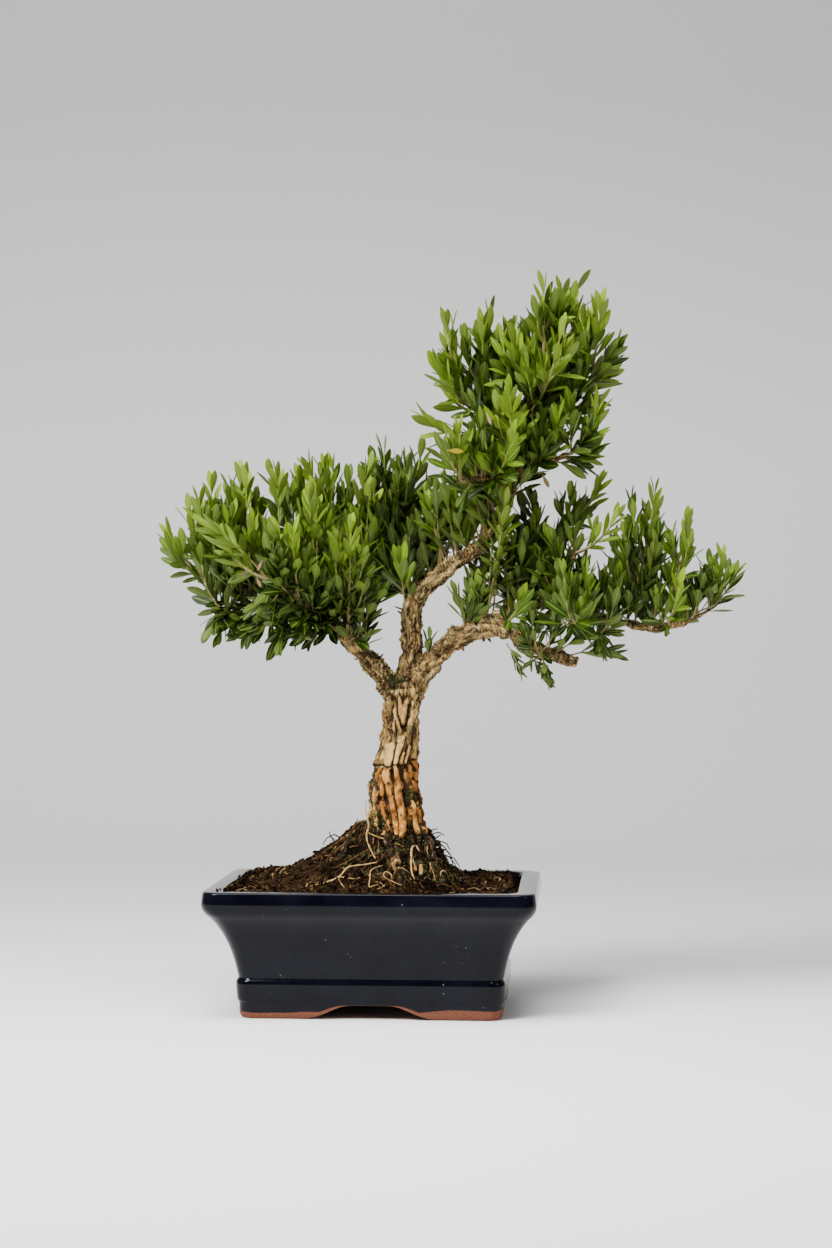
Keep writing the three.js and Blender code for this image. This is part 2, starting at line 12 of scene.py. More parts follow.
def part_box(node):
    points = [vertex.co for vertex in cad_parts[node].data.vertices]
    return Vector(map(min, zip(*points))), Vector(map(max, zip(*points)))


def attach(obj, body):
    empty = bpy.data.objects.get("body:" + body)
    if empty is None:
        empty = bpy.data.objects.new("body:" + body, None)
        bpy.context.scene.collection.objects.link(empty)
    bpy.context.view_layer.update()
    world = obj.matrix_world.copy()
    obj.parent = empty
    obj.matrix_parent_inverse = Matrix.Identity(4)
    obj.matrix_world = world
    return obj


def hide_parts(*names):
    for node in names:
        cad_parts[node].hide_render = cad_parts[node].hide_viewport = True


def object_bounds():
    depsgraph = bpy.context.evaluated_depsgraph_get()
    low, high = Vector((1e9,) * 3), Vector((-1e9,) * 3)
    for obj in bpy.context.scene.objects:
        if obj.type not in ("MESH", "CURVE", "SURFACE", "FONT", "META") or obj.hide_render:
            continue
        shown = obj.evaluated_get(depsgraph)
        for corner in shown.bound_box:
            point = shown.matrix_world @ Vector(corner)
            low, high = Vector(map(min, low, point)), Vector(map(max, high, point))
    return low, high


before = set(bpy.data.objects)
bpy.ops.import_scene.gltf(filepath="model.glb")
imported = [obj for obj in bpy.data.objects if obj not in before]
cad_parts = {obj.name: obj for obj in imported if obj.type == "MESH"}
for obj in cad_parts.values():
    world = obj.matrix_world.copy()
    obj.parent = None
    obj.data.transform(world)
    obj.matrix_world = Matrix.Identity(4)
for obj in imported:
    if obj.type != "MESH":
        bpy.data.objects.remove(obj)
cad_low, cad_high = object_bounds()

# The pot: one stoneware casting with a square rolled rim, a flaring wall, a band above its foot ring and
# cloud-shaped openings between four feet. It was dipped in a navy-black glaze, and its feet were wiped bare.
MM = 0.001
pot_low, pot_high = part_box("pot")
POT_X = (pot_low[0] + pot_high[0]) / 2 / MM
POT_HALF = (pot_high[0] - pot_low[0]) / 2 / MM
POT_SLIM = POT_HALF - (pot_high[1] - pot_low[1]) / 2 / MM
RIM_TOP = pot_high[2] / MM
UNDERSIDE = 10.4
RECESS_HALF = 72.2
RECESS_CORNER = 7.6
DRAIN_RADIUS = 7
DRAIN_X = 38
ARCH_TOP = 9.4
FRONT_ARCH_HALF = 48
SIDE_ARCH_HALF = 35
WAIST = (88.2, 28.2)
FLARE_VIA = (93.0, 54.5)
FLARE_TOP = (105.3, 67.9)


def curve_points(start, via, end, steps):
    """Points of a quadratic curve after its start."""
    found = []
    for k in range(1, steps + 1):
        t = k / steps
        a, b, c = (1 - t) ** 2, 2 * t * (1 - t), t * t
        found.append(tuple(a * p + b * q + c * r for p, q, r in zip(start, via, end)))
    return found


# The pot's outline, from its foot ring out and up, over the rim and down to the floor inside: half of its
# length and its height at each point.
pot_profile = [
    (73.2, 0.7), (74.0, 0.0), (84.2, 0.0), (85.6, 0.4), (86.5, 1.4), (87.0, 3.0), (87.3, 6.0), (87.4, 9.6),
    (87.5, 10.6), (88.1, 11.3), (88.6, 12.6), (88.9, 15.0), (89.1, 18.0), (89.3, 21.5), (89.3, 23.2),
    (89.1, 24.4), (88.7, 25.3), (88.1, 26.0), (87.8, 26.8), WAIST,
    *curve_points(WAIST, FLARE_VIA, FLARE_TOP, 14),
    *curve_points(FLARE_TOP, (109.4, 71.3), (POT_HALF - 0.1, 75.6), 6),
    (POT_HALF, 76.4), (109.8, 78.6), (109.5, 81.2), (109.25, 83.4), (109.0, 84.2), (108.5, RIM_TOP - 0.2),
    (107.7, RIM_TOP), (98.4, RIM_TOP), (97.3, RIM_TOP - 0.3), (96.6, RIM_TOP - 1.0), (96.1, RIM_TOP - 2.4),
    *curve_points((96.1, RIM_TOP - 2.4), (82, 50), (78.6, 20), 8),
    (75.6, 15.0),
]


def pick(piece=None):
    """Selects one piece alone, or nothing."""
    bpy.ops.object.select_all(action="DESELECT")
    if piece:
        bpy.context.view_layer.objects.active = piece
        piece.select_set(True)


pick()
bpy.ops.mesh.primitive_plane_add(size=2, location=(POT_X * MM, 0, UNDERSIDE * MM))
pot = bpy.context.object
pot.name = "glazed_pot"
bpy.ops.object.mode_set(mode="EDIT")
bpy.ops.transform.resize(value=(RECESS_HALF * MM, (RECESS_HALF - POT_SLIM) * MM, 1))
bpy.ops.mesh.bevel(offset=RECESS_CORNER * MM, segments=12, affect="VERTICES")
half, height = RECESS_HALF, UNDERSIDE
for new_half, new_height in pot_profile:
    rise = (0, 0, (new_height - height) * MM)
    bpy.ops.mesh.extrude_region_move(TRANSFORM_OT_translate={"value": rise})
    bpy.ops.transform.resize(value=(new_half / half, (new_half - POT_SLIM) / (half - POT_SLIM), 1))
    half, height = new_half, new_height
bpy.ops.mesh.select_all(action="SELECT")
bpy.ops.mesh.normals_make_consistent(inside=False)
bpy.ops.object.mode_set(mode="OBJECT")
bpy.ops.object.transform_apply(location=True, rotation=True, scale=True)


def cut(piece, tool):
    """Takes the tool's shape out of a piece, and removes the tool."""
    pick(piece)
    boolean = piece.modifiers.new("cut", "BOOLEAN")
    boolean.object = tool
    boolean.solver = "EXACT"
    bpy.ops.object.modifier_apply(modifier=boolean.name)
    bpy.data.objects.remove(tool, do_unlink=True)


def arch_cutter(half_width, turned):
    """A bar with the outline of a foot opening, which runs out to nothing at both ends."""
    flat = half_width * 0.26
    rising = [Vector(p) for p in ((-half_width, 0, -0.1), (-0.62 * half_width, 0, 0.4),
                                  (-0.50 * half_width, 0, ARCH_TOP), (-flat, 0, ARCH_TOP))]
    left = interpolate_bezier(*rising, 16)
    outline = [Vector((-half_width, 0, -3)), *left, *[Vector((-p.x, 0, p.z)) for p in reversed(left)],
               Vector((half_width, 0, -3))]
    mesh = bpy.data.meshes.new("arch_cutter")
    mesh.from_pydata([(p.x * MM, -0.12, p.z * MM) for p in outline], [], [list(range(len(outline)))])
    bar = bpy.data.objects.new("arch_cutter", mesh)
    bpy.context.collection.objects.link(bar)
    pick(bar)
    bpy.ops.object.mode_set(mode="EDIT")
    bpy.ops.mesh.select_all(action="SELECT")
    bpy.ops.mesh.extrude_region_move(TRANSFORM_OT_translate={"value": (0, 0.24, 0)})
    bpy.ops.mesh.select_all(action="SELECT")
    bpy.ops.mesh.normals_make_consistent(inside=False)
    bpy.ops.object.mode_set(mode="OBJECT")
    bar.matrix_world = Matrix.Translation((POT_X * MM, 0, 0)) @ Matrix.Rotation(turned, 4, "Z")
    return bar


cut(pot, arch_cutter(FRONT_ARCH_HALF, 0))
cut(pot, arch_cutter(SIDE_ARCH_HALF, math.pi / 2))
for side in (-1, 1):
    pick()
    bpy.ops.mesh.primitive_cylinder_add(vertices=32, radius=DRAIN_RADIUS * MM, depth=0.03,
                                        location=((POT_X + side * DRAIN_X) * MM, 0, 0.015))
    cut(pot, bpy.context.object)
pick(pot)
bpy.ops.object.shade_smooth_by_angle(angle=math.radians(38))


def shader_node(tree, kind, sockets=None, **settings):
    """A shader node with its settings; a socket is given a value, or linked where it is given an output."""
    made = tree.nodes.new("ShaderNode" + kind)
    for name, value in settings.items():
        setattr(made, name, value)
    for name, value in (sockets or {}).items():
        if isinstance(value, bpy.types.NodeSocket):
            tree.links.new(value, made.inputs[name])
        else:
            made.inputs[name].default_value = value
    return made


def colour_ramp(tree, factor, stops):
    """A colour ramp with stops of (place, colour)."""
    ramp = shader_node(tree, "ValToRGB", {"Fac": factor})
    elements = ramp.color_ramp.elements
    while len(elements) < len(stops):
        elements.new(0.5)
    for element, (place, colour) in zip(elements, stops):
        element.position = place
        element.color = (*colour, 1)
    return ramp.outputs["Color"]


def ranged(tree, value, low, high, to_low=0.0, to_high=1.0, kind="LINEAR"):
    """A value carried from one range to another."""
    return shader_node(tree, "MapRange", {"Value": value, "From Min": low, "From Max": high, "To Min": to_low,
                                          "To Max": to_high}, interpolation_type=kind).outputs[0]


def reckon(tree, kind, *values):
    """One step of arithmetic on values."""
    return shader_node(tree, "Math", dict(enumerate(values)), operation=kind).outputs[0]


def blend(tree, factor, a, b, kind="RGBA"):
    """A mix of two colours, or of two numbers where the kind is FLOAT."""
    return shader_node(tree, "Mix", {"Factor": factor, "A": a, "B": b}, data_type=kind).outputs["Result"]


def cloudy(tree, place, scale, detail, roughness=0.5):
    """A cloudy pattern of numbers around a half."""
    return shader_node(tree, "TexNoise", {"Vector": place, "Scale": scale, "Detail": detail,
                                          "Roughness": roughness}).outputs["Fac"]


def kept(tree, name):
    """The number that a piece keeps under a name for each of its points."""
    return shader_node(tree, "Attribute", attribute_name=name).outputs["Fac"]


def dress(tree, shader, colour, specular, relief=None, strength=1.0, depth=0.001):
    """Gives a material its colour and its gloss, and a relief of a strength and a depth in metres."""
    tree.links.new(colour, shader.inputs["Base Color"])
    shader.inputs["Specular IOR Level"].default_value = specular
    if relief:
        bump = shader_node(tree, "Bump", {"Height": relief, "Strength": strength, "Distance": depth})
        tree.links.new(bump.outputs["Normal"], shader.inputs["Normal"])


def new_material(name, roughness=0.6):
    """A material with its node tree and its main shader."""
    material = bpy.data.materials.new(name)
    material.use_nodes = True
    shader = material.node_tree.nodes["Principled BSDF"]
    shader.inputs["Roughness"].default_value = roughness
    return material, material.node_tree, shader


glaze, tree, shader = new_material("navy_black_glaze")
place = shader_node(tree, "TexCoord").outputs["Object"]
cloud = cloudy(tree, place, 45, 5)
navy = colour_ramp(tree, cloud, [(0.35, (0.0012, 0.0015, 0.0034)), (0.65, (0.0032, 0.0038, 0.0080))])
speck_cells = shader_node(tree, "TexVoronoi", {"Vector": place, "Scale": 300.0, "Randomness": 1.0})
speck = reckon(tree, "MULTIPLY", ranged(tree, speck_cells.outputs["Distance"], 0.07, 0.13, 1.0, 0.0),
               ranged(tree, cloudy(tree, place, 190, 1), 0.64, 0.66))
specked = blend(tree, speck, navy, (0.22, 0.235, 0.25, 1))
axes = shader_node(tree, "SeparateXYZ", {"Vector": place})
foot_line = reckon(tree, "ADD", ranged(tree, cloudy(tree, place, 24, 1.5), 0.3, 0.7, -0.0014, 0.0014),
                   ranged(tree, axes.outputs["X"], (POT_X - 60) * MM, (POT_X + 60) * MM, 0.0046, 0.0068))
off_middle = reckon(tree, "ABSOLUTE", reckon(tree, "SUBTRACT", axes.outputs["X"], POT_X * MM))
front_arch = ranged(tree, off_middle, FRONT_ARCH_HALF * MM, 0.016, 0.0012, ARCH_TOP * MM, "SMOOTHSTEP")
side_arch = ranged(tree, reckon(tree, "ABSOLUTE", axes.outputs["Y"]), SIDE_ARCH_HALF * MM, 0.012, 0.0012,
                   ARCH_TOP * MM, "SMOOTHSTEP")
line = reckon(tree, "MAXIMUM", foot_line, reckon(tree, "MAXIMUM", front_arch, side_arch))
glazed = ranged(tree, reckon(tree, "SUBTRACT", axes.outputs["Z"], line), -0.0002, 0.0003)
clay = colour_ramp(tree, cloudy(tree, place, 900, 4),
                   [(0.3, (0.11, 0.036, 0.020)), (0.7, (0.21, 0.082, 0.048))])
rough = blend(tree, glazed, 0.85, ranged(tree, cloud, 0.3, 0.7, 0.06, 0.11), "FLOAT")
tree.links.new(rough, shader.inputs["Roughness"])
dress(tree, shader, blend(tree, glazed, clay, specked), 0.13, cloudy(tree, place, 150, 3), 0.06)
pot.data.materials.append(glaze)
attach(pot, "root")
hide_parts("pot")

# The drain screens: two pieces of black moulded plastic mesh. They lie loose over the holes in the pot's
# floor and keep the soil in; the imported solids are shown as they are.
screen_plastic, tree, shader = new_material("black_mesh_plastic", 0.55)
place = shader_node(tree, "TexCoord").outputs["Object"]
dusty = colour_ramp(tree, cloudy(tree, place, 300, 3),
                    [(0.45, (0.012, 0.012, 0.011)), (0.75, (0.05, 0.038, 0.026))])
dress(tree, shader, dusty, 0.5)
for side in ("left", "right"):
    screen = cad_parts["drain_screen_" + side]
    screen.data.materials.clear()
    screen.data.materials.append(screen_plastic)

# The soil: dark fibrous potting mix, heaped in a lopsided cone up to the foot of the trunk and crumbly all
# over. It lies a little above the pot's rim on the left and at the back, and just under it on the right.
TRUNK_X = 14
SOIL_LEVEL = 81
SOIL_EDGE = 94.6
SOIL_AROUND = 380
SOIL_RINGS = 130
HEAP_LEFT = 92
HEAP_RIGHT = 50
HEAP_DEEP = 62
HEAP_PEAK = 61
HEAP_TOP = 43


def held(value, low=0.0, high=1.0):
    """A value kept between two others."""
    return max(low, min(high, value))


def soil_height(x, y):
    """Height of the packed soil, as in the part's source."""
    spread = math.hypot((x - TRUNK_X) / (HEAP_LEFT if x < TRUNK_X else HEAP_RIGHT), y / HEAP_DEEP)
    heap = held(HEAP_PEAK * (1 - spread), 0, HEAP_TOP)
    lumps = 1.1 * math.sin(x / 6.1 + 1) * math.sin(y / 5.3) + 0.7 * math.sin(x / 3.3 + y / 4.1)
    return SOIL_LEVEL + heap + lumps * min(1, 0.35 + heap / 20)


def crumbly_height(x, y):
    """The packed soil with its lumps, its crumbs and the ridges of the roots under it."""
    p = Vector((x, y, 0))
    lump = 1.7 * noise.noise(p / 8) + 1.3 * noise.noise(p / 3.6)
    crumb = 1.2 * abs(noise.noise(p / 1.9)) + 0.8 * abs(noise.noise(p / 0.9))
    edge = held((SOIL_EDGE - max(abs(x), abs(y) + POT_SLIM)) / 5)
    reach = math.hypot(x - TRUNK_X, y)
    turn = math.atan2(y, x - TRUNK_X)
    heaped = held((60 - reach) / 30)
    ridge = 1.1 * noise.noise(Vector((math.cos(turn) * 7, math.sin(turn) * 7, reach / 20)))
    banked = (2.6 - 2.0 * held((x + 30) / 90) + 3.4 * (y > 0) * min(1, y / 30)) * edge
    packed = soil_height(x, y)
    steep = held((packed - SOIL_LEVEL - 3) / 18)
    slump = (5.6 + 2.2 * held((x - TRUNK_X) / 25)) * steep
    slump *= 1 - 0.5 * held((packed - 113) / 8)
    rough = (lump * (1 + 0.5 * steep) + crumb) * max(edge, 0.25)
    return packed - slump + banked + rough + ridge * heaped - 2.0 * (1 - edge)


def rounded_outline(half_length, radius, count):
    """Evenly spaced points of a rounded rectangle with the pot's proportions."""
    half_depth = half_length - POT_SLIM
    corners = []
    for quarter, (sx, sy) in enumerate(((1, 1), (-1, 1), (-1, -1), (1, -1))):
        for k in range(13):
            angle = (quarter + k / 12) * math.pi / 2
            corners.append((sx * (half_length - radius) + radius * math.cos(angle),
                            sy * (half_depth - radius) + radius * math.sin(angle)))
    loop = np.array(corners + corners[:1])
    along = np.concatenate(([0], np.cumsum(np.hypot(*np.diff(loop, axis=0).T))))
    wanted = np.linspace(0, along[-1], count, endpoint=False)
    return [(np.interp(w, along, loop[:, 0]), np.interp(w, along, loop[:, 1])) for w in wanted]


def mesh_piece(name, points, faces, material, smooth=True):
    """A piece from points in millimetres, counted from under the middle of the pot."""
    mesh = bpy.data.meshes.new(name)
    placed = (np.asarray(points, dtype=float) + (POT_X, 0, 0)) * MM
    mesh.from_pydata(placed.tolist(), [], faces)
    mesh.polygons.foreach_set("use_smooth", [smooth] * len(mesh.polygons))
    mesh.materials.append(material)
    piece = bpy.data.objects.new(name, mesh)
    bpy.context.collection.objects.link(piece)
    return piece


def give_tones(piece, name, values):
    """Keeps one number for each point of a piece, for its material to read."""
    attribute = piece.data.attributes.new(name, "FLOAT", "POINT")
    attribute.data.foreach_set("value", np.asarray(values, dtype=np.float32))


edge_loop = rounded_outline(SOIL_EDGE, 9, SOIL_AROUND)
soil_points = [(0, 0, 60)]
soil_points += [(x * 0.93, y * 0.93, 60) for x, y in edge_loop]
soil_points += [(x, y, SOIL_LEVEL - 5) for x, y in edge_loop]
for ring in range(SOIL_RINGS):
    share = 1 - ring / SOIL_RINGS
    soil_points += [(x * share, y * share, crumbly_height(x * share, y * share)) for x, y in edge_loop]
soil_points.append((0, 0, crumbly_height(0, 0)))
soil_faces = []
for k in range(SOIL_AROUND):
    after = (k + 1) % SOIL_AROUND
    soil_faces.append((0, 1 + after, 1 + k))
    for ring in range(SOIL_RINGS + 1):
        low, high = 1 + ring * SOIL_AROUND, 1 + (ring + 1) * SOIL_AROUND
        soil_faces.append((low + k, low + after, high + after, high + k))
    soil_faces.append((len(soil_points) - 1 - SOIL_AROUND + k, len(soil_points) - 1 - SOIL_AROUND + after,
                       len(soil_points) - 1))
streaks = []
for x, y, _ in soil_points:
    reach, turn = math.hypot(x - TRUNK_X, y), math.atan2(y, x - TRUNK_X)
    heaped = held((64 - reach) / 24)
    streak = noise.noise(Vector((math.cos(turn) * 26, math.sin(turn) * 26, reach / 9)))
    coarse = noise.noise(Vector((math.cos(turn) * 9, math.sin(turn) * 9, reach / 18 + 4)))
    streaks.append(0.38 + 0.32 * (1 - heaped) + heaped * (0.45 * streak + 0.4 * coarse))

soil_look, tree, shader = new_material("fibrous_soil", 0.95)
place = shader_node(tree, "TexCoord").outputs["Object"]
grains = cloudy(tree, place, 620, 5, 0.75)
grainy = blend(tree, 0.62, cloudy(tree, place, 85, 6, 0.7), grains, "FLOAT")
both = reckon(tree, "ADD", grainy, ranged(tree, kept(tree, "streak"), 0.0, 1.0, -0.18, 0.16))
earth = colour_ramp(tree, both, [(0.40, (0.0012, 0.0007, 0.0003)), (0.52, (0.006, 0.003, 0.0012)),
                                 (0.64, (0.057, 0.031, 0.0135)), (0.82, (0.36, 0.21, 0.095))])
dress(tree, shader, earth, 0.04, grains, 1.0, 0.0014)

soil = mesh_piece("soil_heap", soil_points, soil_faces, soil_look)
give_tones(soil, "streak", streaks)
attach(soil, "root")
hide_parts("soil")


# Crumbs: loose bits of the same soil, which lie all over the heap and ragged along its edge. Some have spilt
# over the rim's inner edge on the left; those have their place and size below.
def draws(seed):
    """A small seeded generator of numbers from 0 to 1, as in the part's source."""
    state = seed

    def draw():
        nonlocal state
        state = (state * 16807) % 2147483647
        return state / 2147483647

    return draw


def between(draw, low, high):
    """A drawn number between two others."""
    return low + (high - low) * draw()


def round_lump():
    """Points and faces of a small twenty-faced ball."""
    ball = bmesh.new()
    bmesh.ops.create_icosphere(ball, subdivisions=1, radius=1)
    points = [v.co.copy() for v in ball.verts]
    faces = [[v.index for v in f.verts] for f in ball.faces]
    ball.free()
    return points, faces


CRUMBS = 3400
EDGE_CRUMBS = 260
SPILT_CRUMBS = [(-99.5, -70, 1.1), (-99.2, -66, 0.9), (-100.6, -63.5, 1.0), (-98.6, -60, 0.7),
                (-99.8, -56, 0.6), (-98.3, 22, 1.2), (-98.9, 30, 0.8), (-60, 71.5, 1.2), (-42, 72, 1.0),
                (-51, 71, 1.3)]
lump_points, lump_faces = round_lump()
draw = draws(4021)
crumb_points, crumb_faces, crumb_tones = [], [], []


def add_crumb(x, y, z, size):
    """Adds one uneven lump, turned and squashed at random."""
    turn = Matrix.Rotation(6.28 * draw(), 3, Vector((draw() - 0.5, draw() - 0.5, draw() + 0.1)))
    stretch = Vector((1, between(draw, 0.5, 0.9), between(draw, 0.45, 0.8)))
    first = len(crumb_points)
    for p in lump_points:
        bulge = size * (0.7 + 0.6 * draw())
        q = turn @ Vector((p.x * stretch.x, p.y * stretch.y, p.z * stretch.z)) * bulge
        crumb_points.append((x + q.x, y + q.y, z + q.z))
    crumb_faces.extend([first + i for i in face] for face in lump_faces)
    crumb_tones.extend([0.2 + 0.75 * draw()] * len(lump_points))


for k in range(CRUMBS):
    x = between(draw, -SOIL_EDGE + 1.5, SOIL_EDGE - 1.5)
    y = between(draw, -1, 1) * (SOIL_EDGE - POT_SLIM - 1.5)
    size = 0.45 + 1.7 * draw() ** 3
    add_crumb(x, y, crumbly_height(x, y) + 0.35 * size, size)
for k in range(EDGE_CRUMBS):
    ragged = SOIL_EDGE - 1 + between(draw, 0, 3.2)
    y = between(draw, -1, 1) * (SOIL_EDGE - POT_SLIM - 3)
    if draw() < 0.45:
        x, y = between(draw, -SOIL_EDGE + 3, 20), ragged - POT_SLIM
    else:
        x = -ragged
    add_crumb(x, y, RIM_TOP + between(draw, -0.6, 0.5), between(draw, 0.6, 1.6))
for x, y, size in SPILT_CRUMBS:
    add_crumb(x, y, RIM_TOP + 0.4 * size, size)
crumbs = mesh_piece("soil_crumbs", crumb_points, crumb_faces, soil_look, smooth=False)
give_tones(crumbs, "streak", crumb_tones)
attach(crumbs, "root")


# Fibres: shreds of peat and hair roots, pale straw to nearly black. They are short bent strands that lie on
# the soil or arch a little out of it.
def strand(points, radii, sides, flat=1.0):
    """Points and faces of a closed tube through the given places."""
    line = [Vector(p) for p in points]
    found, faces = [], []
    across = None
    for k, here in enumerate(line):
        along = (line[min(k + 1, len(line) - 1)] - line[max(k - 1, 0)]).normalized()
        if across is None:
            across = along.orthogonal().normalized()
        across = (across - along * across.dot(along)).normalized()
        other = along.cross(across)
        for side in range(sides):
            angle = 2 * math.pi * side / sides
            found.append(here + radii[k] * (math.cos(angle) * across + flat * math.sin(angle) * other))
    for k in range(len(line) - 1):
        for side in range(sides):
            a, b = k * sides + side, k * sides + (side + 1) % sides
            faces.append([a, b, b + sides, a + sides])
    faces.append(list(range(sides))[::-1])
    faces.append([(len(line) - 1) * sides + side for side in range(sides)])
    return found, faces


class Strands:
    """Many strands kept as one piece."""

    def __init__(self):
        self.points, self.faces, self.tones = [], [], []

    def add(self, places, radii, sides, tone):
        """Adds one strand with one tone."""
        first = len(self.points)
        points, faces = strand(places, radii, sides)
        self.points += [tuple(p) for p in points]
        self.faces += [[first + i for i in face] for face in faces]
        self.tones += [tone] * len(points)

    def piece(self, name, material, slot):
        """Makes one piece of all the strands."""
        made = mesh_piece(name, self.points, self.faces, material)
        give_tones(made, "tone", self.tones)
        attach(made, "root")
        return made


def kept_in(x, y, margin=1.5):
    """The nearest place on the soil to a place that may lie outside it."""
    edge_x, edge_y = SOIL_EDGE - margin, SOIL_EDGE - POT_SLIM - margin
    return held(x, -edge_x, edge_x), held(y, -edge_y, edge_y)


root_look, tree, shader = new_material("root_and_peat_fibre", 0.8)
place = shader_node(tree, "TexCoord").outputs["Object"]
dirt = ranged(tree, cloudy(tree, place, 380, 4), 0.3, 0.7, -0.14, 0.14)
dirty = reckon(tree, "ADD", kept(tree, "tone"), dirt)
straw = colour_ramp(tree, dirty, [(0.0, (0.002, 0.0010, 0.0003)), (0.40, (0.018, 0.0086, 0.0026)),
                                  (0.72, (0.165, 0.088, 0.029)), (1.0, (0.66, 0.43, 0.18))])
dress(tree, shader, straw, 0.08)

FIBRES = 700
draw = draws(1733)
fibres = Strands()
for k in range(FIBRES):
    x = between(draw, -SOIL_EDGE + 4, SOIL_EDGE - 4)
    y = between(draw, -1, 1) * (SOIL_EDGE - POT_SLIM - 4)
    heading, length = 6.28 * draw(), between(draw, 3, 11)
    lift, thick = between(draw, -0.2, 0.4) * length, between(draw, 0.12, 0.34)
    bend = between(draw, -1.4, 1.4)
    places = []
    for i in range(5):
        s = i / 4
        turned = heading + bend * s
        px, py = kept_in(x + s * length * math.cos(turned), y + s * length * math.sin(turned))
        places.append((px, py, crumbly_height(px, py) + 0.2 + lift * math.sin(math.pi * s) * 0.8))
    fibres.add(places, [thick * w for w in (0.5, 1, 1, 0.9, 0.3)], 4, draw() ** 1.3)
fibres.piece("soil_fibres", root_look, "soil")

# Surface roots run down the heap from the foot of the trunk: thick knobbly ones half sunk in it, a mat of
# thin brown ones over those, and dark hair roots that arch clear of the slope on the right.
KNOBBLY_ROOTS = 46
THIN_ROOTS = 1100
draw = draws(8819)
mat = Strands()


def down_heap(turn, start, length, wander, steps, sink):
    """Places of a root that leaves the trunk in one direction and winds down the heap."""
    places = []
    x, y = TRUNK_X + start * math.cos(turn), start * math.sin(turn)
    heading = turn
    for i in range(steps + 1):
        places.append((x, y, crumbly_height(x, y) + sink))
        heading += between(draw, -wander, wander)
        heading = turn + held(heading - turn, -0.9, 0.9)
        x, y = kept_in(x + length / steps * math.cos(heading), y + length / steps * math.sin(heading))
    return places


for k in range(KNOBBLY_ROOTS):
    turn = (k + draw()) / KNOBBLY_ROOTS * 2 * math.pi
    leftward = max(0.0, -math.cos(turn))
    thick = between(draw, 0.5, 1.1) + leftward * between(draw, 0.1, 0.8)
    length = between(draw, 16, 34) * (1 + 0.6 * leftward)
    places = down_heap(turn, between(draw, 12, 24), length, 0.45, 12, -0.2)
    radii = [thick * (1 - 0.62 * i / 12) * between(draw, 0.8, 1.2) for i in range(13)]
    mat.add(places, radii, 7, between(draw, 0.12, 0.38) + 0.10 * leftward)
for k in range(THIN_ROOTS):
    turn = 2 * math.pi * draw()
    thick = between(draw, 0.13, 0.40)
    start = between(draw, 12, 50)
    places = down_heap(turn, start, between(draw, 7, 24), 0.65, 6, between(draw, 0.1, 1.5))
    swerve = between(draw, -1.7, 1.7) * (1 if math.cos(turn) > -0.5 else 0.4)
    middle = Vector((places[0][0], places[0][1], 0))
    twisted = []
    for x, y, _ in places:
        x, y, _ = middle + Matrix.Rotation(swerve, 3, "Z") @ (Vector((x, y, 0)) - middle)
        x, y = kept_in(x, y)
        twisted.append((x, y, crumbly_height(x, y) + between(draw, 0.0, 0.9)))
    mat.add(twisted, [thick * w for w in (0.6, 1, 1, 1, 0.9, 0.7, 0.3)], 4, 0.02 + 0.70 * draw() ** 2.2)
HAIR_ROOTS = [[(34, 2.7, 113), (38, 2, 117.5), (42.2, 2, 118.2), (45.8, 1.4, 116.2)],
              [(33, 4, 116), (36, 4, 119.4), (41, 4, 120.6)],
              [(39, -4, 110.5), (43.6, -4, 112.6), (47.4, -5, 111.4), (49.6, -5, 107)],
              [(43, -3, 104), (49, -4, 102.4), (53, -4, 97.5), (54.6, -5, 91.5)],
              [(45, 2, 103), (52, 2, 100.8), (56, 1, 95)],
              [(-24, -4, 114), (-29, -5, 117), (-34, -6, 114.6), (-37, -6, 110)],
              [(37.5, 2, 112.5), (41.5, 1.2, 115.8), (43.4, 0.6, 116.6)],
              [(37, 1, 112), (42.5, 2, 110.6), (46, 1.5, 107.8), (48.8, 0, 103.6)],
              [(40, 1, 107.5), (46.5, 2, 106.4), (50, 1, 103), (51.4, -1, 96.5)],
              [(33, -6, 115), (36.2, -7, 118.6), (38.4, -7, 119.4)],
              [(35, -12, 110), (40.5, -14, 108.8), (45, -15, 104), (46.5, -16, 98)],
              [(-30, 3, 112), (-32.5, 2, 115.6), (-33, 1, 118.4)]]
for places in HAIR_ROOTS:
    fine = []
    for here, after in zip(places, places[1:]):
        fine += [here, tuple((a + b) / 2 for a, b in zip(here, after))]
    fine.append(places[-1])
    mat.add(fine, [0.58 - 0.28 * i / len(fine) for i in range(len(fine))], 5, between(draw, 0.16, 0.40))
mat.piece("surface_roots", root_look, "corky_bark")

